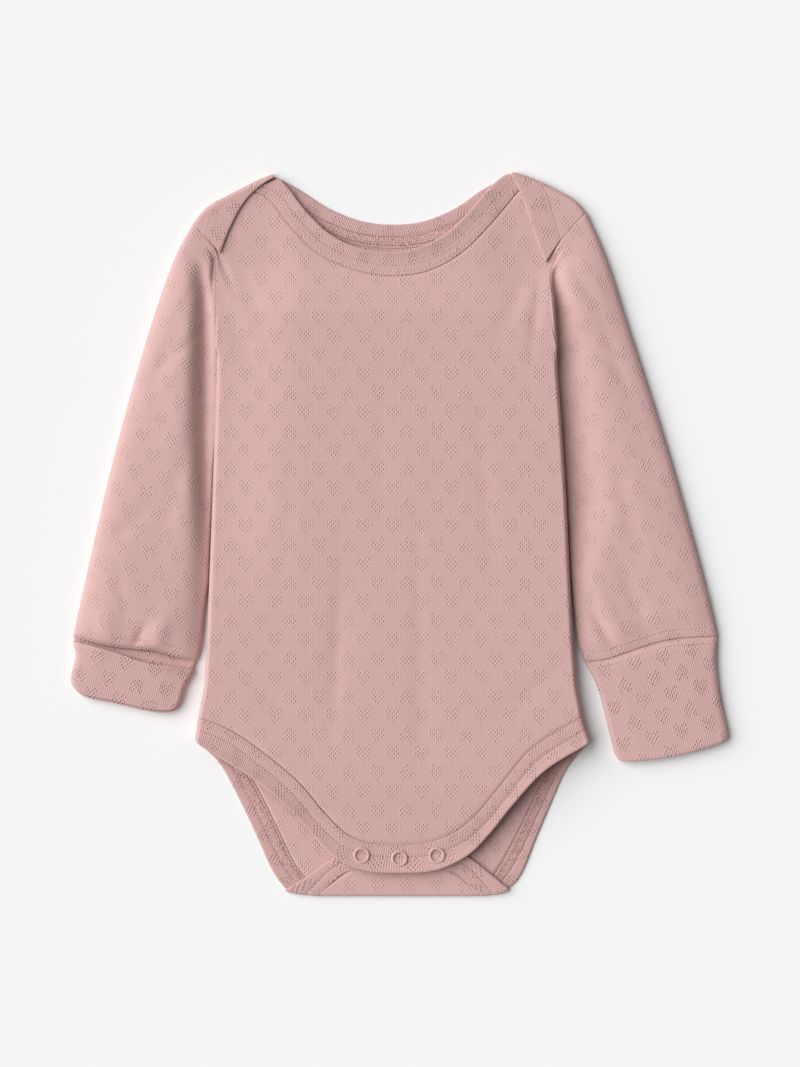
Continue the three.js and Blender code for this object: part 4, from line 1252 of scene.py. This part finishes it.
for number, (x, y) in enumerate(SNAPS, 1):
    piece(f"snap_ring_{number}_enamel", [snap_ring(x, y)], snap_enamel, [f"snap_ring_{number}"])

# %% [markdown]
# ## Stitches
#
# A coverstitch has two rows of needle thread on the outside and a looped chain between them on
# the inside. The outside shows as dotted rows, with the needle's holes between the stitches of
# the row by the middle, drawn as small dark beads of painted shadow. The inside shows where the
# neck and the legs stand open, as a soft raised chain, painted darker as shade and edged by the
# same beads of painted shadow. The armholes and the cuffs' seams have topstitching. A texture
# could draw the stitches, but small threads catch the light, so each is a short round-ended
# length of its own. Their pink is lighter than the cloth's, a painted highlight.

# %% Short lengths of thread
THREAD_TURN = np.radians([0, 60, 120, 180, 240, 300])
HOLE_SHADOW_RADIUS, CHAIN_RADIUS = 0.32, 0.42
UNEVEN = np.random.default_rng(7)


def threads(starts, ends, radius):
    """Round-ended lengths of thread between pairs of points, as one shell."""
    starts, ends = np.asarray(starts), np.asarray(ends)
    way = one_long(ends - starts)
    side = one_long(np.cross((0, 0, 1), way))
    up = np.cross(way, side)
    circle = side[:, None] * np.cos(THREAD_TURN)[:, None] + up[:, None] * np.sin(THREAD_TURN)[:, None] * 0.75
    hoops = [(starts + way * radius * a)[:, None] + circle * radius * b for a, b in ((-0.6, 0.7), (0.2, 1))]
    hoops += [(ends - way * radius * a)[:, None] + circle * radius * b for a, b in ((0.2, 1), (-0.6, 0.7))]
    tips = np.stack([starts - way * radius, ends + way * radius], axis=1)
    corners = np.concatenate([np.concatenate(hoops, axis=1), tips], axis=1)
    around = np.arange(6)
    onward = np.roll(around, -1)
    faces = [np.column_stack([around, onward, onward + 6, around + 6]) + hoop for hoop in (0, 6, 12)]
    faces += [np.column_stack([onward, around, np.full(6, 24), np.full(6, 24)]),
              np.column_stack([around + 18, onward + 18, np.full(6, 25), np.full(6, 25)])]
    faces = np.vstack(faces)
    every = (faces[None] + 26 * np.arange(len(starts))[:, None, None]).reshape(-1, 4)
    return corners.reshape(-1, 3), every, np.zeros((26 * len(starts), 2))


def stitched(line, pitch=1.7, length=0.35, radius=0.3):
    """A row of stitches along a line."""
    run = lengths(line)
    begin = np.arange(pitch / 2, run[-1] - pitch, pitch)
    return threads(read_off(line, run, begin), read_off(line, run, begin + length), radius)


def hole_shadows_between(line, pitch=1.7, length=0.35):
    """Dark beads of painted shadow for the needle's holes, in the gaps of a row of stitches."""
    run = lengths(line)
    middle = np.arange(pitch / 2, run[-1] - 2 * pitch, pitch) + (length + pitch) / 2
    return threads(read_off(line, run, middle - 0.1), read_off(line, run, middle + 0.1), HOLE_SHADOW_RADIUS)


def chained(first, second, pitch=1.25):
    """The loops of a chain between two rows, which look like uneven grains."""
    count = int(lengths(first)[-1] / pitch)
    grains = []
    for number, share in enumerate((0.1, 0.36, 0.64, 0.9)):
        shares = np.linspace(0.01, 0.99, count) + 0.5 * (number % 2) / count
        a, b = [by_length(line, np.clip(shares, 0, 1), smooth=False) for line in (first, second)]
        grains.append(a + (b - a) * share + UNEVEN.normal(0, 0.16, a.shape) * (1, 1, 0.5))
    grains = np.vstack(grains)
    way = UNEVEN.normal(0, 0.3, grains.shape) * (1, 1, 0.2)
    return threads(grains - way / 2, grains + way / 2, CHAIN_RADIUS)


print("corners of one thread:", len(threads([(0, 0, 0)], [(1, 0, 0)], 0.3)[0]))


# %% Rows on the bindings
ROW_BY_SEAM, ROW_BETWEEN, ROW_ON_NECK, ROW_BY_MIDDLE = 16, 14, 12, 10


def row_on(band, column, rise=0.05):
    line = band[:, column, :3].copy()
    line[:, 2] += band[:, column, 3] + rise
    return line


outside_bands = (neck_front, leg_front, tab_band)
inside_bands = (neck_back, leg_right, leg_left)
dotted_rows = [row_on(neck_front, ROW_ON_NECK, -0.08)]
dotted_rows += [row_on(band, ROW_BY_MIDDLE) for band in (leg_front, tab_band)]
seam_rows = [row_on(band, column) for band in outside_bands for column in (ROW_BY_SEAM, ROW_BETWEEN)]
chain_sides = [row_on(band, column) for band in inside_bands for column in (ROW_BY_SEAM, ROW_BY_MIDDLE)]
piece("binding_coverstitch", [stitched(row) for row in dotted_rows + seam_rows], sewing_thread)
# dark beads of painted shadow in the needle's holes, along the dotted rows and both sides of each inside
# chain
piece("binding_needle_hole_shadows", [hole_shadows_between(row) for row in dotted_rows + chain_sides], needle_hole_shadow)
chains = [chained(row_on(band, ROW_BY_SEAM, 0.1), row_on(band, ROW_BY_MIDDLE, 0.1)) for band in inside_bands]
piece("binding_chain", chains, looped_thread)

# %% Rows on the sleeves and cuffs
def resting(plan, net_layer):
    """A line in plan laid on top of a net."""
    points = net_layer[..., :4].reshape(-1, 4)
    points = points[points[:, 2] > 1.4]
    heights = []
    for x, y in plan:
        away = np.hypot(points[:, 0] - x, points[:, 1] - y)
        near = points[np.argsort(away)[:6]]
        heights.append((near[:, 2] + near[:, 3]).max())
    smooth = np.convolve(np.pad(heights, 3, mode="edge"), np.ones(7) / 7, mode="valid")
    return np.column_stack([plan, smooth])


def shifted_aside(line, distance):
    """A line in plan moved to its left by a distance."""
    way = one_long(np.gradient(line, axis=0))
    return line + np.column_stack([-way[:, 1], way[:, 0]]) * np.reshape(distance, (-1, 1))


RIDGE_ROW = 0.75
ROW_ABOVE_CUFF = 5.0
TOPSTITCH = {"pitch": 1.6, "length": 0.8}
sleeve_rows = []
for side, rings in sleeve_nets.items():
    arm = armhole_run(side, 0.36, 0.97, 60)
    strip = at_height(BANKS[side], arm[:, 1])[0]
    arm = shifted_aside(arm, -INWARD[side] * np.maximum(0.8, RIDGE_ROW * strip))
    end = by_length(SLEEVE_END[side], np.linspace(0.02, 0.98, 60)) + np.array([0, ROW_ABOVE_CUFF])
    sleeve_rows += [stitched(resting(row, rings), radius=0.27, **TOPSTITCH) for row in (arm, end)]
below = by_length(SLEEVE_END["left"], np.linspace(0.03, 0.97, 60)) - np.array([0, CUFF_ROW])
sleeve_rows.append(stitched(resting(below, cuff_net), radius=0.25, **TOPSTITCH))
piece("sleeve_topstitch", sleeve_rows, sewing_thread)
